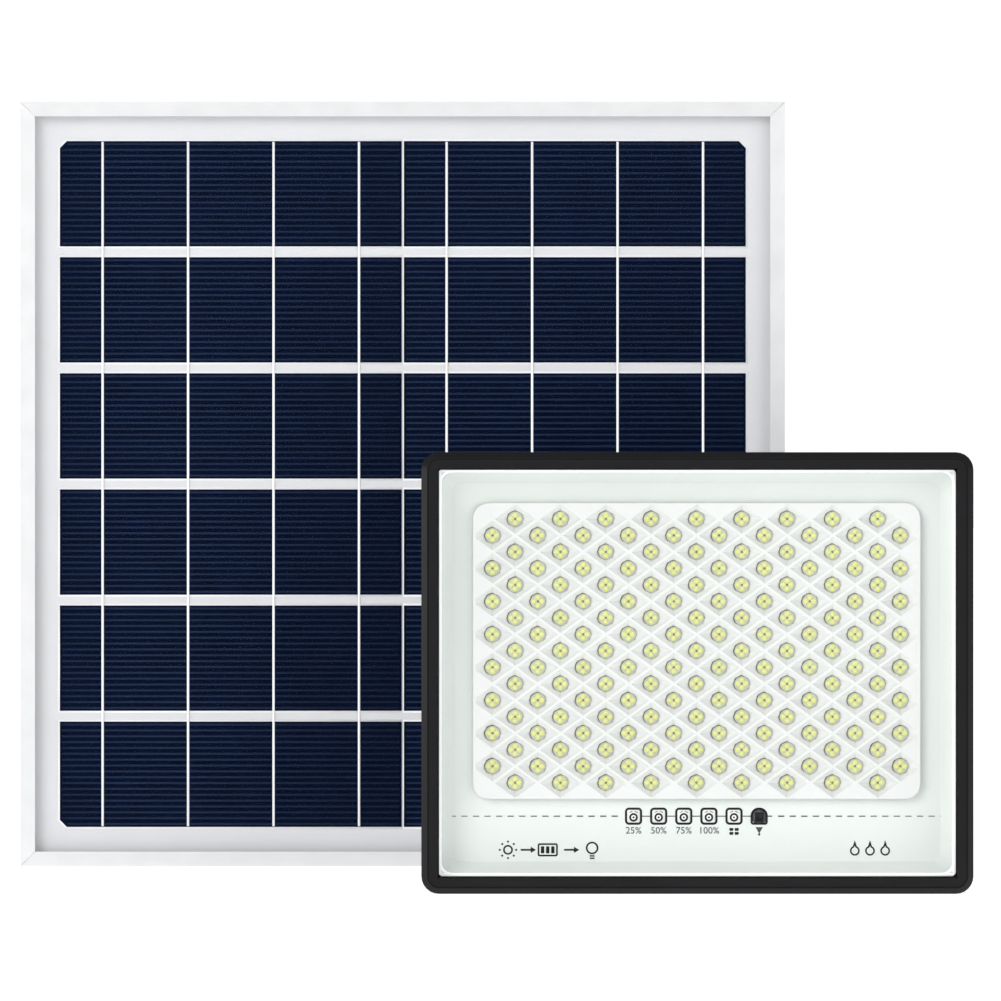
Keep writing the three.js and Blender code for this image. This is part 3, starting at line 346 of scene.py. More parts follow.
def disc_matrix(x: float, y: float, z: float) -> Matrix:
    """A place for a flat shape that faces the front, towards -Y."""
    return Matrix.Translation((x, y, z)) @ Matrix.Rotation(math.radians(90), 4, "X")


def add_disc(work: bmesh.types.BMesh, x: float, y: float, z: float, radius: float, sides: int = 16) -> list:
    """Adds a flat round face towards the front and returns its vertices."""
    made = bmesh.ops.create_circle(
        work, cap_ends=True, segments=sides, radius=radius, matrix=disc_matrix(x, y, z),
    )
    return made["verts"]


def face_of(verts: Iterable) -> bmesh.types.BMFace:
    """The single face that a flat shape's vertices carry."""
    return next(iter(next(iter(verts)).link_faces))


def ring_from(work: bmesh.types.BMesh, face: bmesh.types.BMFace, width: float) -> None:
    """Insets a face and removes its middle, which leaves a flat ring."""
    work.normal_update()
    bmesh.ops.inset_region(work, faces=[face], thickness=width, use_even_offset=True, use_boundary=True)
    bmesh.ops.delete(work, geom=[face], context="FACES_ONLY")


def add_flat(work: bmesh.types.BMesh, centre: Sequence[float], width: float, height: float) -> list:
    """Adds a flat rectangle that faces the front and returns its vertices."""
    made = bmesh.ops.create_grid(
        work, x_segments=1, y_segments=1, size=0.5,
        matrix=disc_matrix(*centre) @ Matrix.Diagonal((width, height, 1.0, 1.0)),
    )
    return made["verts"]


def round_corners(work: bmesh.types.BMesh, corners: list, radius: float, segments: int) -> None:
    """Rounds the corners of a flat shape."""
    bmesh.ops.bevel(
        work, geom=corners, offset=radius, offset_type="OFFSET", segments=segments, profile=0.5,
        affect="VERTICES", material=-1,
    )


def add_rounded(
    work: bmesh.types.BMesh, centre: Sequence[float], width: float, height: float, radius: float,
    segments: int = 5,
) -> bmesh.types.BMFace:
    """Adds a flat rounded rectangle that faces the front.

    Args:
        work: The bmesh that takes it.
        centre: Its middle.
        width: Its size along X.
        height: Its size along Z.
        radius: The size of its corners.
        segments: Edges round each corner.

    Returns:
        Its face.
    """
    others = set(work.faces)
    round_corners(work, add_flat(work, centre, width, height), radius, segments)
    return next(face for face in work.faces if face not in others)


def thicken(work: bmesh.types.BMesh, depth: float) -> None:
    """Gives every flat shape in a bmesh a thickness towards the front."""
    made = bmesh.ops.extrude_face_region(work, geom=work.faces[:])
    verts = [item for item in made["geom"] if isinstance(item, bmesh.types.BMVert)]
    bmesh.ops.translate(work, vec=(0.0, -depth, 0.0), verts=verts)


def clean_copy(node: str, whole_faces: bool = True) -> bmesh.types.BMesh:
    """A merged bmesh of a CAD node, with its flat faces made whole if asked."""
    work = bmesh.new()
    work.from_mesh(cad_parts[node].data)
    bmesh.ops.remove_doubles(work, verts=work.verts, dist=MERGE)
    if whole_faces:
        bmesh.ops.dissolve_limit(work, angle_limit=FLAT_ANGLE, verts=work.verts, edges=work.edges)
    return work


def ease(
    work: bmesh.types.BMesh, width: float, segments: int = 2, least: float = 35.0,
    chosen: Callable[[bmesh.types.BMEdge], bool] = lambda edge: True, clamp: bool = True,
) -> None:
    """Rounds the sharp edges of a bmesh.

    Args:
        work: The bmesh.
        width: The round's width in metres.
        segments: Faces across each round.
        least: The sharpest angle in degrees that is left alone.
        chosen: Picks edges out of the sharp ones.
        clamp: Whether rounds shrink where edges are short.
    """
    sharp = [
        e for e in work.edges
        if len(e.link_faces) == 2 and e.calc_face_angle(0.0) > math.radians(least) and chosen(e)
    ]
    bmesh.ops.bevel(
        work, geom=sharp, offset=width, offset_type="OFFSET", segments=segments, profile=0.5,
        affect="EDGES", clamp_overlap=clamp, material=-1,
    )


def eased_copy(node: str, finish: Finish, body: str, width: float, segments: int = 2) -> None:
    """Replaces a CAD node by a copy with softened edges."""
    work = clean_copy(node)
    ease(work, width, segments)
    add_piece(f"{node}_eased", work, finish, body, (node,), smooth=True)


# ---- Solar panel ----


@dataclass
class PanelFrame:
    """Four mitred aluminium members with softened edges, keys and sheets."""

    edge: float = 0.35 * MM
    hairline: float = 0.06 * MM
    mitre_slack: float = 0.3 * MM

    def __post_init__(self) -> None:
        """Measures the frame's outline."""
        (left, _), (_, right) = box_of("panel_frame_left"), box_of("panel_frame_right")
        (bottom, _), (_, top) = box_of("panel_frame_bottom"), box_of("panel_frame_top")
        self.low, self.high = (left.x, bottom.z), (right.x, top.z)

    def off_mitre(self, edge: bmesh.types.BMEdge) -> bool:
        """Whether an edge lies away from the mitred ends, which stay tight."""
        return not all(
            abs(
                min(v.co.x - self.low[0], self.high[0] - v.co.x)
                - min(v.co.z - self.low[1], self.high[1] - v.co.z)
            ) < self.mitre_slack for v in edge.verts
        )

    def close_mitre(self, work: bmesh.types.BMesh, along_x: bool) -> None:
        """Lengthens a member a little at both ends, so that the mitres show as hairlines."""
        middle_x, middle_z = (self.low[0] + self.high[0]) / 2, (self.low[1] + self.high[1]) / 2
        for vert in work.verts:
            if along_x:
                vert.co.x += math.copysign(self.hairline, vert.co.x - middle_x)
            else:
                vert.co.z += math.copysign(self.hairline, vert.co.z - middle_z)

    def build(self) -> None:
        """Builds the softened members."""
        for side, finish in (
            ("top", ANODISED_X), ("bottom", ANODISED_X), ("left", ANODISED_Z), ("right", ANODISED_Z),
        ):
            node = f"panel_frame_{side}"
            work = clean_copy(node)
            self.close_mitre(work, along_x=side in ("top", "bottom"))
            ease(work, self.edge, 2, chosen=self.off_mitre)
            add_piece(f"{node}_eased", work, finish, PANEL, (node,), smooth=True)

    def dress(self) -> None:
        """Finishes what the frame holds."""
        dress(ZINC, *(f"corner_key_{i}" for i in range(1, 5)))
        dress(BACKSHEET, "backsheet")
        dress(CLEAR_PANEL, "panel_glass")


@dataclass
class CellField:
    """Printed silver lines, ribbons and white edges of the two cell strings."""

    rows: int = 6
    gap: float = 4.95 * MM
    chamfer: float = 3.2 * MM
    busbars: int = 4
    busbar_width: float = 1.05 * MM
    fingers: int = 18
    finger_width: float = 0.95 * MM
    finger_inset: float = 1.0 * MM
    finger_rise: float = 0.03 * MM
    ribbon_rise: float = 0.04 * MM
    ribbon_inset: float = 0.3 * MM
    edge_width: float = 0.9 * MM
    edge_overlap: float = 0.45 * MM
    edge_clear: float = 0.01 * MM
    edge_thickness: float = 0.05 * MM
    edge_chamfer: float = 0.59

    def build(self) -> None:
        """Builds the lines of both strings."""
        for side in ("left", "right"):
            low, high = box_of(f"cell_string_{side}")
            pitch = (high.z - low.z + self.gap) / self.rows
            rows = [(low.z + i * pitch, low.z + (i + 1) * pitch - self.gap) for i in range(self.rows)]
            self.build_fingers(side, low, high, rows)
            self.build_ribbons(side, low, high)
            self.build_edges(side, low, high, rows)

    def build_fingers(self, side: str, low: Vector, high: Vector, rows: Sequence) -> None:
        """Builds the thin horizontal silver lines across each cell."""
        work = bmesh.new()
        half = self.finger_width / 2
        for bottom, top in rows:
            step = (top - bottom) / self.fingers
            for i in range(self.fingers):
                z = bottom + step * (i + 0.5)
                nearest_end = min(z - low.z, high.z - z) - half
                cut = max(0.0, self.chamfer - nearest_end)
                left, right = (cut, 0.0) if side == "left" else (0.0, cut)
                add_block(
                    work, (low.x + self.finger_inset + left, low.y - self.finger_rise, z - half),
                    (high.x - self.finger_inset - right, low.y + self.finger_rise, z + half),
                )
        add_piece(f"cell_fingers_{side}", work, FINGER, PANEL)

    def build_ribbons(self, side: str, low: Vector, high: Vector) -> None:
        """Builds the flat ribbons that run down the string."""
        work = bmesh.new()
        width = (high.x - low.x) / self.busbars
        for i in range(self.busbars):
            x = low.x + width * (i + 0.5)
            add_block(
                work, (x - self.busbar_width / 2, low.y - self.ribbon_rise, low.z + self.ribbon_inset),
                (x + self.busbar_width / 2, low.y + self.finger_rise, high.z - self.ribbon_inset),
            )
        add_piece(f"cell_ribbons_{side}", work, RIBBON, PANEL)

    def build_edges(self, side: str, low: Vector, high: Vector, rows: Sequence) -> None:
        """Builds the white encapsulant that shows as a line round each cell, made to glow a little as painted
        light.
        """
        work = bmesh.new()
        w = self.edge_width
        on_left = side == "left"
        x0 = low.x - (w if on_left else self.edge_overlap)
        x1 = high.x + (self.edge_overlap if on_left else w)
        y0 = high.y + self.edge_clear
        for i, (bottom, top) in enumerate(rows):
            others = set(work.verts)
            add_block(work, (x0, y0, bottom - w), (x1, y0 + self.edge_thickness, top + w))
            fresh = [v for v in work.verts if v not in others]
            outer = x0 if on_left else x1
            ends = [z for z, cut in ((bottom - w, i == 0), (top + w, i == self.rows - 1)) if cut]
            cut = [
                e for e in work.edges
                if e.verts[0] in fresh and all(abs(v.co.x - outer) < SAME_PLACE for v in e.verts)
                and any(all(abs(v.co.z - z) < SAME_PLACE for v in e.verts) for z in ends)
            ]
            if cut:
                bmesh.ops.bevel(
                    work, geom=cut, offset=self.chamfer + self.edge_chamfer * w, offset_type="OFFSET",
                    segments=1, profile=0.5, affect="EDGES", material=-1,
                )
        add_piece(f"cell_edges_{side}", work, CELL_EDGE, PANEL)

    def dress(self) -> None:
        """Finishes the silicon itself."""
        dress(SILICON, "cell_string_left", "cell_string_right")


@dataclass
class PanelBack:
    """Junction box, hinge lugs, screws, pivots and stand of the panel."""

    edge: float = 0.3 * MM

    def build(self) -> None:
        """Builds softened copies of the fittings."""
        for node in ("junction_box", "junction_box_lid"):
            eased_copy(node, BLACK_PLASTIC, PANEL, 2 * self.edge)
        for side in ("left", "right"):
            eased_copy(f"panel_lug_{side}", ZINC, PANEL, self.edge)
        eased_copy("panel_bracket", ZINC, "panel_stand", self.edge)

    def dress(self) -> None:
        """Finishes the small fittings."""
        dress(BLACK_PLASTIC, "junction_gland")
        dress(ZINC, *(f"lug_screw_{i}" for i in range(1, 5)))
        for side in ("left", "right"):
            dress(ZINC, f"panel_pivot_bolt_{side}", f"panel_pivot_nut_{side}")


# ---- Lamp head ----


@dataclass
class LampFront:
    """Bezel, glass, gasket and tray of the lamp."""

    rim_chamfer: float = 2.4 * MM
    inner_round: float = 0.2 * MM
    lip: float = 7.0 * MM
    # A flat black ring of painted shade along the inner edge of the opening.
    shade_ring_reach: float = 0.3 * MM
    shade_ring_width: float = 0.85 * MM
    shade_ring_depth: float = 2.26 * MM
    shade_ring_thickness: float = 0.2 * MM
    line_reach: float = 0.2 * MM
    line_width: float = 1.7 * MM
    line_rise: float = 0.1 * MM
    line_thickness: float = 0.4 * MM
    # A flat dark ring of painted shade, standing for a groove round the bezel's front.
    groove_shade_inset: float = 2.75 * MM
    groove_shade_width: float = 0.45 * MM
    groove_shade_sink: float = 0.02 * MM
    groove_shade_thickness: float = 0.04 * MM
    corner_round: float = 7.5 * MM
    bowl_round: float = 4.6 * MM
    bowl_steps: int = 6
    tray_round: float = 0.5 * MM
    on_plane: float = 0.01 * MM

    def __post_init__(self) -> None:
        """Measures the bezel and its opening."""
        self.low, self.high = box_of("lamp_bezel")
        self.middle = (self.low + self.high) / 2
        self.opening = (self.high.x - self.low.x - 2 * self.lip, self.high.z - self.low.z - 2 * self.lip)

    def build(self) -> None:
        """Builds the bezel, a black ring of painted shade and a glowing line inside it, the tray, and the
        painted shade of a groove.
        """
        self.build_bezel()
        self.build_opening_shade()
        self.build_line()
        eased_copy("reflector_tray", TRAY, LAMP, self.tray_round, 3)
        self.build_groove_shade()

    def on_front(self, edge: bmesh.types.BMEdge) -> bool:
        """Whether an edge lies on the bezel's front face."""
        return all(abs(v.co.y - self.low.y) < self.on_plane for v in edge.verts)

    def on_rim(self, edge: bmesh.types.BMEdge) -> bool:
        """Whether an edge runs round the outside of the bezel's front face."""
        mid = (edge.verts[0].co + edge.verts[1].co) / 2
        inset = min(mid.x - self.low.x, self.high.x - mid.x, mid.z - self.low.z, self.high.z - mid.z)
        return self.on_front(edge) and inset < self.lip / 2

    def on_opening(self, edge: bmesh.types.BMEdge) -> bool:
        """Whether an edge runs round the bezel's opening."""
        return self.on_front(edge) and not self.on_rim(edge)

    def build_bezel(self) -> None:
        """Builds the bezel with a broad chamfer outside and a small round inside."""
        work = clean_copy("lamp_bezel")
        ease(work, self.inner_round, 2, chosen=self.on_opening, clamp=False)
        ease(work, self.rim_chamfer, 1, chosen=self.on_rim, clamp=False)
        add_piece("lamp_bezel_rounded", work, BLACK_COAT, LAMP, ("lamp_bezel",), smooth=True)

    def flat_ring(self, work: bmesh.types.BMesh, y: float, reach: float, width: float) -> None:
        """Adds a square ring round the opening.

        Args:
            work: The bmesh that takes it.
            y: Its depth.
            reach: How far it goes past the opening, under the lip.
            width: How wide it is.
        """
        wide, tall = (size + 2 * reach for size in self.opening)
        verts = add_flat(work, (self.middle.x, y, self.middle.z), wide, tall)
        ring_from(work, face_of(verts), width)

    def build_opening_shade(self) -> None:
        """Builds a flat black ring between the lip and the glass, painted shade along the opening's inner
        edge.
        """
        work = bmesh.new()
        self.flat_ring(work, self.low.y + self.shade_ring_depth, self.shade_ring_reach, self.shade_ring_width)
        thicken(work, self.shade_ring_thickness)
        add_piece("opening_shade_ring", work, RUBBER, LAMP)

    def build_line(self) -> None:
        """Builds the white line on the tray's flange round the bowl, which glows as a painted highlight."""
        work = bmesh.new()
        tray_low, _ = box_of("reflector_tray")
        y = tray_low.y - self.line_rise
        self.flat_ring(work, y, self.line_reach, self.line_width)
        half_x, half_z = (size / 2 + self.line_reach - self.line_width for size in self.opening)
        for side in (-1, 1):
            for end in (-1, 1):
                corner = (self.middle.x + side * half_x, y, self.middle.z + end * half_z)
                self.fill_corner(work, corner, side, end)
        bmesh.ops.recalc_face_normals(work, faces=work.faces)
        thicken(work, self.line_thickness)
        add_piece("tray_edge_line", work, TRAY_EDGE, LAMP)

    def build_groove_shade(self) -> None:
        """Builds a flat dark ring between the bezel's chamfer and its flat face: painted shade that stands
        for a groove.
        """
        work = bmesh.new()
        face = add_rounded(
            work, (self.middle.x, self.low.y + self.groove_shade_sink, self.middle.z),
            self.high.x - self.low.x - 2 * self.groove_shade_inset,
            self.high.z - self.low.z - 2 * self.groove_shade_inset,
            self.corner_round - self.groove_shade_inset, 8,
        )
        ring_from(work, face, self.groove_shade_width)
        thicken(work, self.groove_shade_thickness)
        add_piece("bezel_groove_shade", work, RUBBER, LAMP)

    def fill_corner(self, work: bmesh.types.BMesh, corner: Sequence[float], side: int, end: int) -> None:
        """Fills the space between a square corner and the round one of the tray's bowl with glowing white,
        which covers the shade there.

        Args:
            work: The bmesh that takes the faces.
            corner: Where the square corner is.
            side: 1 for a corner on the right, -1 on the left.
            end: 1 for a corner at the top, -1 at the bottom.
        """
        x, y, z = corner
        turns = [i / self.bowl_steps * math.pi / 2 for i in range(self.bowl_steps + 1)]
        arc = [
            work.verts.new((
                x - side * self.bowl_round * (1 - math.sin(turn)), y,
                z - end * self.bowl_round * (1 - math.cos(turn)),
            ))
            for turn in turns
        ]
        tip = work.verts.new(corner)
        for first, second in zip(arc, arc[1:]):
            work.faces.new((tip, first, second))

    def dress(self) -> None:
        """Finishes the glass and gasket."""
        dress(CLEAR_LAMP, "lamp_glass")
        dress(RUBBER, "glass_gasket")


@dataclass
class LedField:
    """White plate of rhombic pockets with a clear dome over every LED."""

    rows: int = 17
    short_row: int = 9
    side: float = 8.3 * MM
    end: float = 6.75 * MM
    wall: float = 1.3 * MM
    thickness: float = 3.5 * MM
    lip: tuple[float, float] = (0.985, 0.1 * MM)
    funnel_radius: float = 3.55 * MM
    funnel_depth: float = 3.1 * MM
    well: tuple[float, float] = (0.95, 3.3 * MM)
    rim_slack: float = 0.004
    front_normal: float = -0.99
    front_slack: float = 0.01 * MM
    dome_radius: float = 3.4 * MM
    dome_depth: float = 2.75 * MM
    dome_flatness: float = 0.45
    # The dark disc of painted shadow sits up and left, and the seat down and right, so the shadow shows as an
    # arc.
    dome_shadow_shift: tuple[float, float] = (-0.2 * MM, 0.08 * MM)
    dome_shadow_radius: float = 3.48 * MM
    seat_shift: tuple[float, float] = (0.1 * MM, -0.08 * MM)
    seat_radius: float = 3.28 * MM
    seat_rise: float = 0.05 * MM
    disc_thickness: float = 0.03 * MM
    dot_radius: float = 1.2 * MM
    dot_reach: float = 1.74 * MM
    dot_rise: float = 0.1 * MM
    dot_thickness: float = 0.12 * MM
    chip_radius: float = 0.5 * MM
    chip_thickness: float = 0.08 * MM

    def __post_init__(self) -> None:
        """Measures the CAD plate that this one stands for."""
        self.low, self.high = box_of("lens_plate")
        self.pitch_x = (self.high.x - self.low.x - 2 * self.side) / self.short_row
        self.pitch_z = (self.high.z - self.low.z - 2 * self.end) / (self.rows - 1)
        self.middle = (self.low + self.high) / 2
        self.share = 1 - self.wall / min(self.pitch_x, 2 * self.pitch_z)
        self.spots = self.centres()

    def centres(self) -> list[tuple[float, float]]:
        """The centre of every LED, as x and z."""
        spots = []
        for row in range(self.rows):
            count = self.short_row + row % 2
            z = self.middle.z + (row - (self.rows - 1) / 2) * self.pitch_z
            spots += [(self.middle.x + (i - (count - 1) / 2) * self.pitch_x, z) for i in range(count)]
        return spots

    def build(self) -> None:
        """Builds the plate, the painted shadows round the domes, the domes and the phosphor dots."""
        self.build_plate()
        self.build_domes()
        self.build_dots()

    def nearest(self, point: Vector) -> Vector:
        """The centre of the LED closest to a point, measured across its pocket."""
        x, z = min(
            self.spots,
            key=lambda c: abs(c[0] - point.x) / self.pitch_x + abs(c[1] - point.z) / self.pitch_z / 2,
        )
        return Vector((x, point.y, z))

    def build_plate(self) -> None:
        """Keeps the CAD plate's front face and sinks a funnel at each pocket."""
        work = clean_copy("lens_plate", whole_faces=False)
        hidden = [f for f in work.faces if f.normal.y > self.front_normal]
        bmesh.ops.delete(work, geom=hidden, context="FACES")
        rims, outline = [], []
        for edge in work.edges:
            if len(edge.link_faces) == 1:
                reach = max(
                    abs(abs(v.co.x - c.x) / self.pitch_x * 2 + abs(v.co.z - c.z) / self.pitch_z - self.share)
                    for v in edge.verts for c in (self.nearest(v.co),)
                )
                (rims if reach < self.rim_slack else outline).append(edge)
        self.sink(work, outline, ((1.0, self.thickness),))
        rims = self.sink(work, rims, (self.lip,))
        bmesh.ops.subdivide_edges(work, edges=rims, cuts=1)
        lip_depth = self.low.y + self.lip[1] + self.front_slack
        rims = [e for e in work.edges if len(e.link_faces) == 1 and e.verts[0].co.y < lip_depth]
        rims = self.sink(work, rims, ((1.0, self.funnel_depth),), self.funnel_radius)
        rims = self.sink(work, rims, (self.well,))
        bmesh.ops.holes_fill(work, edges=rims, sides=0)
        add_piece("lens_plate_pockets", work, PLATE, LAMP, ("lens_plate",), smooth=True)

    def sink(
        self, work: bmesh.types.BMesh, edges: list, profile: Sequence[tuple[float, float]],
        radius: float = 0.0,
    ) -> list:
        """Extrudes pocket rims inwards and back.

        Args:
            work: The plate.
            edges: The rims.
            profile: Share of the rim's size and depth below the front, step by step.
            radius: Size of the circle that the rims become, or zero to keep their shape.

        Returns:
            The innermost edges.
        """
        for share, depth in profile:
            made = bmesh.ops.extrude_edge_only(work, edges=edges)
            edges = [g for g in made["geom"] if isinstance(g, bmesh.types.BMEdge)]
            for vert in (g for g in made["geom"] if isinstance(g, bmesh.types.BMVert)):
                middle = self.nearest(vert.co)
                reach = vert.co - middle
                vert.co = middle + (reach.normalized() * radius if radius else reach * share)
                vert.co.y = self.low.y + depth
        return edges

    def build_domes(self) -> None:
        """Builds the clear domes, their pale seats and dark discs under them, shifted up and left so that a
        painted shadow shows as a dark arc at the upper left of each seat.
        """
        domes, seats, dome_shadows = bmesh.new(), bmesh.new(), bmesh.new()
        base = self.low.y + self.dome_depth
        for x, z in self.spots:
            made = bmesh.ops.create_uvsphere(
                domes, u_segments=12, v_segments=6, radius=self.dome_radius,
                matrix=disc_matrix(x, base, z) @ Matrix.Diagonal((1, 1, self.dome_flatness, 1)),
            )
            back = [v for v in made["verts"] if v.co.y > base + self.front_slack]
            bmesh.ops.delete(domes, geom=back, context="VERTS")
            shift_x, shift_z = self.dome_shadow_shift
            add_disc(dome_shadows, x + shift_x, base, z + shift_z, self.dome_shadow_radius)
            shift_x, shift_z = self.seat_shift
            add_disc(seats, x + shift_x, base - self.seat_rise, z + shift_z, self.seat_radius)
        add_piece("led_domes", domes, DOME, LAMP, smooth=True)
        thicken(dome_shadows, self.disc_thickness)
        add_piece("led_dome_shadows", dome_shadows, DOME_SHADOW, LAMP)
        thicken(seats, self.disc_thickness)
        add_piece("led_seats", seats, SEAT, LAMP)

    def build_dots(self) -> None:
        """Builds the four phosphor dots that show in each dome, and the chip between them."""
        dots, chips = bmesh.new(), bmesh.new()
        y = self.low.y + self.dome_depth - self.dot_rise
        for x, z in self.spots:
            for quarter in range(4):
                turn = quarter * math.pi / 2
                add_disc(
                    dots, x + self.dot_reach * math.cos(turn), y, z + self.dot_reach * math.sin(turn),
                    self.dot_radius, 10,
                )
            add_disc(chips, x, y, z, self.chip_radius, 8)
        thicken(dots, self.dot_thickness)
        add_piece("led_phosphor_dots", dots, PHOSPHOR, LAMP)
        thicken(chips, self.chip_thickness)
        add_piece("led_chips", chips, CHIP, LAMP)

    def dress(self) -> None:
        """Finishes the board behind the plate."""
        dress(LED_BOARD, "led_board")


@dataclass
class LampPrints:
    """The indicator row and its generic marks on the tray floor."""

    floor_thickness: float = 1.2 * MM
    proud: float = 0.06 * MM
    pitch: float = 10.75 * MM
    count: int = 5
    square: float = 7.35 * MM
    square_round: float = 1.7 * MM
    line: float = 0.92 * MM
    window_inset: float = 0.4 * MM
    window_round: float = 1.5 * MM
    window_sink: float = 0.8
    ring_radius: float = 1.85 * MM
    ring_width: float = 0.8 * MM
    ring_drop: float = 0.5 * MM
    dot_radius: float = 0.42 * MM
    tick_size: tuple[float, float] = (1.5 * MM, 0.28 * MM)
    tick_turn: float = 0.5
    tick_place: tuple[float, float] = (1.1 * MM, 1.85 * MM)
    tick_depth: float = 0.01 * MM
    join_width: float = 0.4 * MM
    stub: float = 1.9 * MM
    stub_width: float = 0.5 * MM
    dash: float = 2.7 * MM
    dash_pitch: float = 4.95 * MM
    dashes: int = 16
    dash_width: float = 0.55 * MM
    dash_taper: float = 0.5
    dash_gaps: tuple[float, float] = (3.0 * MM, 4.4 * MM)
    arch_rounds: tuple[float, float] = (3.5 * MM, 1.2 * MM)
    arch_line: float = 0.9 * MM
    shade: tuple[float, float] = (5.9 * MM, 1.4 * MM)
    pupil: tuple[float, float, float] = (3.7 * MM, 4.1 * MM, 0.3 * MM)
    pupil_drop: float = 0.3 * MM
    pointer: tuple[float, float] = (5.6 * MM, 1.8 * MM)
    point: tuple[float, float] = (7.8 * MM, 0.5 * MM)
    bar_size: tuple[float, float, float] = (1.7 * MM, 1.2 * MM, 0.3 * MM)
    bar_reach: tuple[float, float] = (1.15 * MM, 0.85 * MM)
    bar_drop: float = 6.5 * MM
    digits: float = 4.1 * MM
    label_drop: float = 7.45 * MM
    thin_line: float = 0.7 * MM
    strip_drop: float = 14.4 * MM
    strip_left: float = 62.6 * MM
    strip_reach: float = 18.0 * MM
    sun: tuple[float, float, float] = (2.1 * MM, 3.5 * MM, 0.45 * MM)
    rays: int = 8
    arrow_starts: tuple[float, float] = (-12.5 * MM, 6.0 * MM)
    arrow: tuple[float, float, float, float] = (4.5 * MM, 0.75 * MM, 5.0 * MM, 1.5 * MM)
    cell_shift: float = -1.0 * MM
    cell_size: tuple[float, float, float] = (8.6 * MM, 5.6 * MM, 0.8 * MM)
    level_size: tuple[float, float, float] = (1.4 * MM, 3.0 * MM, 0.2 * MM)
    level_pitch: float = 2.2 * MM
    bulb_rise: float = 0.8 * MM
    bulb_radius: float = 2.7 * MM
    base_half: float = 1.0 * MM
    base_drops: tuple[float, float] = (2.6 * MM, 3.6 * MM)
    base_line: float = 0.6 * MM
    drops_right: float = 74.3 * MM
    drop_pitch: float = 6.5 * MM
    drop_radius: float = 2.1 * MM
    drop_fall: float = 0.4 * MM
    drop_tip: float = 2.4 * MM
    drop_line: float = 0.65 * MM

    def __post_init__(self) -> None:
        """Finds the indicator row from the receiver and the tray's floor."""
        low, high = box_of("ir_receiver")
        tray_low, tray_high = box_of("reflector_tray")
        self.y = tray_high.y - self.floor_thickness - self.proud
        self.z = (low.z + high.z) / 2
        self.last = (low.x + high.x) / 2
        self.middle = (tray_low.x + tray_high.x) / 2
        self.work = bmesh.new()
        self.soft = bmesh.new()
        self.windows = bmesh.new()

    def build(self) -> None:
        """Prints the row, its labels and the pictograms."""
        for i in range(self.count):
            self.square_mark(self.last - (self.count - i) * self.pitch)
        self.joining_lines()
        self.dash_rows()
        self.receiver_arch()
        self.triangle_mark()
        self.pictograms()
        for text, i in (("25%", 0), ("50%", 1), ("75%", 2), ("100%", 3)):
            self.label(text, self.last - (self.count - i) * self.pitch, self.z - self.label_drop)
        bmesh.ops.translate(self.windows, vec=(0, self.proud * self.window_sink, 0), verts=self.windows.verts)
        for work in (self.work, self.soft, self.windows):
            thicken(work, self.proud)
        add_piece("indicator_windows", self.windows, WINDOW, LAMP)
        add_piece("indicator_prints", self.work, INK, LAMP)
        add_piece("indicator_soft_prints", self.soft, GREY_INK, LAMP)

    def square_mark(self, x: float) -> None:
        """Prints a rounded square with a ring and a dot on a pale window."""
        size = self.square - self.window_inset
        add_rounded(self.windows, (x, self.y, self.z), size, size, self.window_round, 4)
        face = add_rounded(self.work, (x, self.y, self.z), self.square, self.square, self.square_round, 6)
        ring_from(self.work, face, self.line)
        self.hoop(x, self.z - self.ring_drop, self.ring_radius, self.ring_width, 24)
        add_disc(self.work, x, self.y, self.z - self.ring_drop, self.dot_radius, 12)
        width, height = self.tick_size
        reach, rise = self.tick_place
        for side in (-1, 1):
            low, high = (-width / 2, 0.0, -height / 2), (width / 2, self.tick_depth, height / 2)
            verts = add_block(self.soft, low, high)
            turn = Matrix.Rotation(side * self.tick_turn, 3, "Y")
            bmesh.ops.rotate(self.soft, cent=(0, 0, 0), matrix=turn, verts=verts)
            bmesh.ops.translate(self.soft, vec=(x + side * reach, self.y, self.z + rise), verts=verts)

    def hoop(self, x: float, z: float, radius: float, width: float, sides: int) -> None:
        """Prints a round ring."""
        ring_from(self.work, face_of(add_disc(self.work, x, self.y, z, radius, sides)), width)

    def bar(self, work: bmesh.types.BMesh, x0: float, x1: float, z: float, thick: float) -> None:
        """Prints a short straight line."""
        add_flat(work, ((x0 + x1) / 2, self.y, z), x1 - x0, thick)

    def joining_lines(self) -> None:
        """Prints the thin lines between the squares and the stub after the receiver."""
        end = self.last + self.square / 2
        self.bar(self.soft, end, end + self.stub, self.z, self.stub_width)
        for i in range(self.count):
            x = self.last - (self.count - i) * self.pitch + self.square / 2
            self.bar(self.soft, x, x + self.pitch - self.square, self.z, self.join_width)

    def dash_rows(self) -> None:
        """Prints the dashes that lead away on both sides."""
        before, after = self.dash_gaps
        left = self.last - self.count * self.pitch - self.square / 2 - before
        right = self.last + self.square / 2 + after
        for i in range(self.dashes):
            thick = self.dash_width * (1.0 - self.dash_taper * i / self.dashes)
            x = left - i * self.dash_pitch
            self.bar(self.soft, x - self.dash, x, self.z, thick)
            x = right + i * self.dash_pitch
            self.bar(self.soft, x, x + self.dash, self.z, thick)

    def receiver_arch(self) -> None:
        """Prints the dark arch round the receiver, its shade and its pupil."""
        others = set(self.work.faces)
        verts = add_flat(self.work, (self.last, self.y, self.z), self.square, self.square)
        feet = [v for v in verts if v.co.z < self.z]
        heads = [v for v in verts if v.co.z > self.z]
        for corners, radius in zip((heads, feet), self.arch_rounds):
            round_corners(self.work, corners, radius, 7)
        ring_from(self.work, next(f for f in self.work.faces if f not in others), self.arch_line)
        size, radius = self.shade
        add_rounded(self.soft, (self.last, self.y, self.z), size, size, radius, 4)
        front = box_of("ir_receiver")[0].y
        add_rounded(self.work, (self.last, front, self.z - self.pupil_drop), *self.pupil, 2)

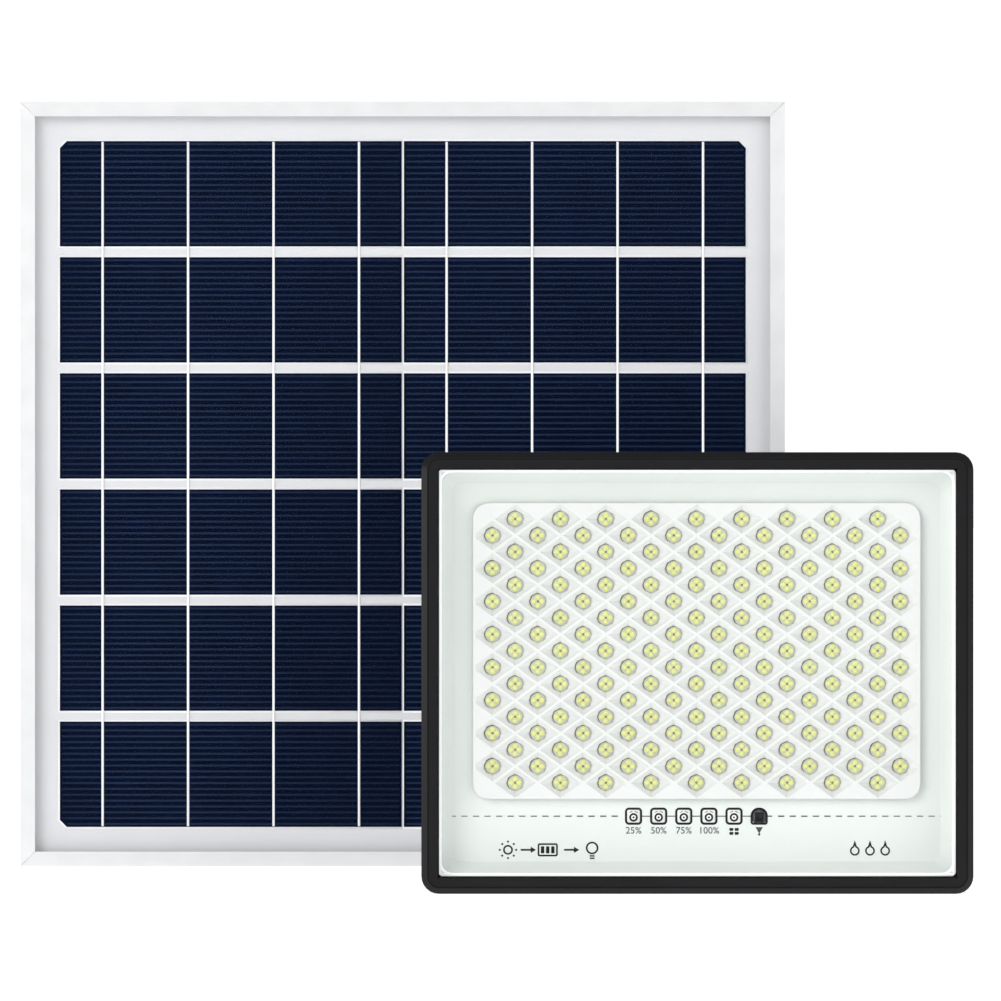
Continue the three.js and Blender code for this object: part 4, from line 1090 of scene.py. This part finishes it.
    def triangle(self, work: bmesh.types.BMesh, x: float, z: float, radius: float, turn: float) -> None:
        """Prints a triangle turned by an angle in degrees."""
        place = disc_matrix(x, self.y, z) @ Matrix.Rotation(math.radians(turn), 4, "Z")
        bmesh.ops.create_circle(work, cap_ends=True, segments=3, radius=radius, matrix=place)

    def triangle_mark(self) -> None:
        """Prints the small triangle and dot under the receiver, and four bars beside them."""
        drop, radius = self.pointer
        self.triangle(self.soft, self.last, self.z - drop, radius, 180)
        drop, radius = self.point
        add_disc(self.work, self.last, self.y, self.z - drop, radius, 12)
        reach_x, reach_z = self.bar_reach
        for side in (-1, 1):
            for end in (-1, 1):
                x = self.last - self.pitch + side * reach_x
                z = self.z - self.bar_drop + end * reach_z
                add_rounded(self.work, (x, self.y, z), *self.bar_size, 2)

    def pictograms(self) -> None:
        """Prints a sun, a cell and a bulb with arrows between them, and three droplets."""
        x, z = self.middle - self.strip_left, self.z - self.strip_drop
        self.sun_mark(x - self.strip_reach, z)
        for start in self.arrow_starts:
            self.arrow_mark(x + start, z)
        self.cell_mark(x + self.cell_shift, z)
        self.bulb_mark(x + self.strip_reach, z)
        for i in (-1, 0, 1):
            self.droplet(self.middle + self.drops_right + i * self.drop_pitch, z - self.drop_fall)

    def sun_mark(self, x: float, z: float) -> None:
        """Prints a ring with round rays."""
        radius, reach, ray = self.sun
        self.hoop(x, z, radius, self.thin_line, 20)
        for i in range(self.rays):
            turn = i * math.tau / self.rays
            add_disc(self.work, x + reach * math.cos(turn), self.y, z + reach * math.sin(turn), ray, 8)

    def arrow_mark(self, x: float, z: float) -> None:
        """Prints an arrow that points right."""
        length, width, head, radius = self.arrow
        self.bar(self.work, x, x + length, z, width)
        self.triangle(self.work, x + head, z, radius, -90)

    def cell_mark(self, x: float, z: float) -> None:
        """Prints a rounded outline with three levels."""
        ring_from(self.work, add_rounded(self.work, (x, self.y, z), *self.cell_size, 3), self.thin_line)
        for i in (-1, 0, 1):
            add_rounded(self.work, (x + i * self.level_pitch, self.y, z), *self.level_size, 2)

    def bulb_mark(self, x: float, z: float) -> None:
        """Prints a ring on two short lines."""
        self.hoop(x, z + self.bulb_rise, self.bulb_radius, self.thin_line, 20)
        for drop in self.base_drops:
            self.bar(self.work, x - self.base_half, x + self.base_half, z - drop, self.base_line)

    def droplet(self, x: float, z: float) -> None:
        """Prints a ring drawn out to a tip."""
        drop = add_disc(self.work, x, self.y, z, self.drop_radius)
        tip = max(drop, key=lambda v: v.co.z)
        bmesh.ops.translate(self.work, vec=(0, 0, self.drop_tip), verts=[tip])
        ring_from(self.work, face_of(drop), self.drop_line)

    def label(self, text: str, x: float, z: float) -> None:
        """Prints a charge level in plain figures.

        Args:
            text: The figures.
            x: Where their middle is.
            z: The height of their foot.
        """
        curve = bpy.data.curves.new("figures", "FONT")
        curve.body, curve.size, curve.align_x = text, self.digits, "CENTER"
        curve.resolution_u = 3
        holder = bpy.data.objects.new("figures", curve)
        bpy.context.scene.collection.objects.link(holder)
        mesh = holder.to_mesh()
        copy = bmesh.new()
        copy.from_mesh(mesh)
        bmesh.ops.remove_doubles(copy, verts=copy.verts, dist=SAME_PLACE)
        bmesh.ops.transform(copy, matrix=disc_matrix(x, self.y, z), verts=copy.verts)
        flat = bpy.data.meshes.new("figures_flat")
        copy.to_mesh(flat)
        copy.free()
        self.soft.from_mesh(flat)
        holder.to_mesh_clear()
        bpy.data.objects.remove(holder)
        bpy.data.curves.remove(curve)
        bpy.data.meshes.remove(flat)

    def dress(self) -> None:
        """Finishes the receiver and the indicator board."""
        dress(DARK_LENS, "ir_receiver")
        dress(GREEN_BOARD, "indicator_board")


@dataclass
class LampBack:
    """Housing, battery bay, gland, button, pivots and stand of the lamp."""

    cast_edge: float = 0.4 * MM
    pressed_edge: float = 0.3 * MM

    def build(self) -> None:
        """Builds softened copies of the cast and pressed pieces."""
        for node, body, edge in (
            ("rear_housing", LAMP, self.cast_edge), ("battery_cover", LAMP, self.cast_edge),
            ("lamp_bracket", "lamp_stand", self.pressed_edge),
        ):
            eased_copy(node, BLACK_COAT, body, edge)

    def dress(self) -> None:
        """Finishes the rest of the lamp."""
        dress(RUBBER, "cover_gasket")
        dress(ZINC, *(f"{kind}_screw_{i}" for kind in ("cover", "housing") for i in range(1, 5)))
        dress(BLACK_PLASTIC, "cable_gland", "button_collar", "battery_holder")
        dress(ALUMINIUM, "heat_spreader")
        dress(GREEN_BOARD, "control_board")
        dress(CELL_WRAP, *(f"battery_cell_{i}" for i in range(1, 4)))
        dress(RED_LEAD, "battery_lead")
        dress(RED_BUTTON, "power_button")
        for side in ("left", "right"):
            dress(ZINC, f"lamp_pivot_bolt_{side}", f"lamp_pivot_nut_{side}")


# ---- Studio ----


@dataclass
class Studio:
    """A pale floor, a white surround, soft lights and the camera."""

    floor_size: float = 60.0
    camera_x: float = 44.8 * MM
    camera_z: float = 167.43 * MM
    gap_share: float = 0.0712
    view_width: float = 458.2 * MM
    sensor: float = 36.0
    key_strength: float = 1.43
    key_spread: float = 0.62
    fill_power: float = 52.0
    rim_power: float = 10.0
    sky: float = 0.45
    sky_seen: float = 1.05
    aim: tuple[float, float, float] = (0.0, 0.0, 0.15)
    key_place: tuple[float, float, float] = (-2.7, -3.8, 2.1)
    fill_place: tuple[float, float, float] = (3.3, -3.2, 1.2)
    fill_size: float = 3.2
    rim_place: tuple[float, float, float] = (-2.6, -0.13, 0.15)
    rim_size: float = 0.9

    def build(self) -> None:
        """Builds the floor, surround, lights and camera."""
        self.build_floor()
        self.build_surround()
        self.build_lights()
        self.build_camera()
        bpy.context.scene.view_settings.view_transform = "Standard"

    def build_floor(self) -> None:
        """Lays a large pale floor under the object."""
        work = bmesh.new()
        bmesh.ops.create_grid(work, x_segments=1, y_segments=1, size=self.floor_size / 2)
        mesh = bpy.data.meshes.new("floor")
        work.to_mesh(mesh)
        work.free()
        floor = bpy.data.objects.new("floor", mesh)
        bpy.context.scene.collection.objects.link(floor)
        mesh.materials.append(FLOOR.material())

    def build_surround(self) -> None:
        """Shows white to the camera and lights the object a little less."""
        world = bpy.data.worlds.new("white_surround")
        world.use_nodes = True
        nodes, links = world.node_tree.nodes, world.node_tree.links
        seen = nodes["Background"]
        seen.inputs["Color"].default_value = (1, 1, 1, 1)
        seen.inputs["Strength"].default_value = self.sky_seen
        lit = nodes.new("ShaderNodeBackground")
        lit.inputs["Color"].default_value = (0.97, 0.99, 1.0, 1)
        lit.inputs["Strength"].default_value = self.sky
        rays = nodes.new("ShaderNodeLightPath")
        mix = nodes.new("ShaderNodeMixShader")
        links.new(rays.outputs["Is Camera Ray"], mix.inputs["Fac"])
        links.new(lit.outputs["Background"], mix.inputs[1])
        links.new(seen.outputs["Background"], mix.inputs[2])
        links.new(mix.outputs["Shader"], nodes["World Output"].inputs["Surface"])
        bpy.context.scene.world = world

    def add_light(self, name: str, kind: str, place: Sequence[float], size: float, power: float) -> None:
        """Hangs a soft light that faces the object.

        Args:
            name: Its name.
            kind: AREA for a square light, or SUN for a distant one.
            place: Where it hangs.
            size: Its side in metres, or for a distant one its width as an angle.
            power: Its power in watts, or for a distant one its strength.
        """
        light = bpy.data.lights.new(name, kind)
        light.energy = power
        if kind == "SUN":
            light.angle = size
        else:
            light.size = size
        holder = bpy.data.objects.new(name, light)
        holder.location = place
        holder.rotation_euler = (Vector(self.aim) - Vector(place)).to_track_quat("-Z", "Y").to_euler()
        bpy.context.scene.collection.objects.link(holder)

    def build_lights(self) -> None:
        """Hangs an even key light upper left, a weak fill to the right and a rim light on the left."""
        self.add_light("key", "SUN", self.key_place, self.key_spread, self.key_strength)
        self.add_light("fill", "AREA", self.fill_place, self.fill_size, self.fill_power)
        self.add_light("rim", "AREA", self.rim_place, self.rim_size, self.rim_power)

    def build_camera(self) -> None:
        """Stands a level camera square to the panel, a little to its right."""
        panel_low, panel_high = box_of("panel_glass")
        front, _ = box_of("panel_frame_top")
        lamp, _ = box_of("lamp_bezel")
        distance = (front.y - lamp.y) / self.gap_share
        data = bpy.data.cameras.new("camera")
        data.sensor_width = self.sensor
        data.lens = self.sensor * distance / self.view_width
        camera = bpy.data.objects.new("camera", data)
        middle = (panel_low.x + panel_high.x) / 2
        camera.location = (middle + self.camera_x, front.y - distance, self.camera_z)
        camera.rotation_euler = (math.radians(90), 0.0, 0.0)
        bpy.context.scene.collection.objects.link(camera)
        bpy.context.scene.camera = camera


def main() -> None:
    """Builds the studio and every sub-assembly, in order."""
    logging.basicConfig(level=logging.INFO, format="%(name)s: %(message)s")
    Studio().build()
    for kind in (PanelFrame, CellField, PanelBack, LampFront, LedField, LampPrints, LampBack):
        assembly = kind()
        assembly.build()
        assembly.dress()
        LOG.info("%s done", kind.__name__)


if __name__ == "__main__":
    main()
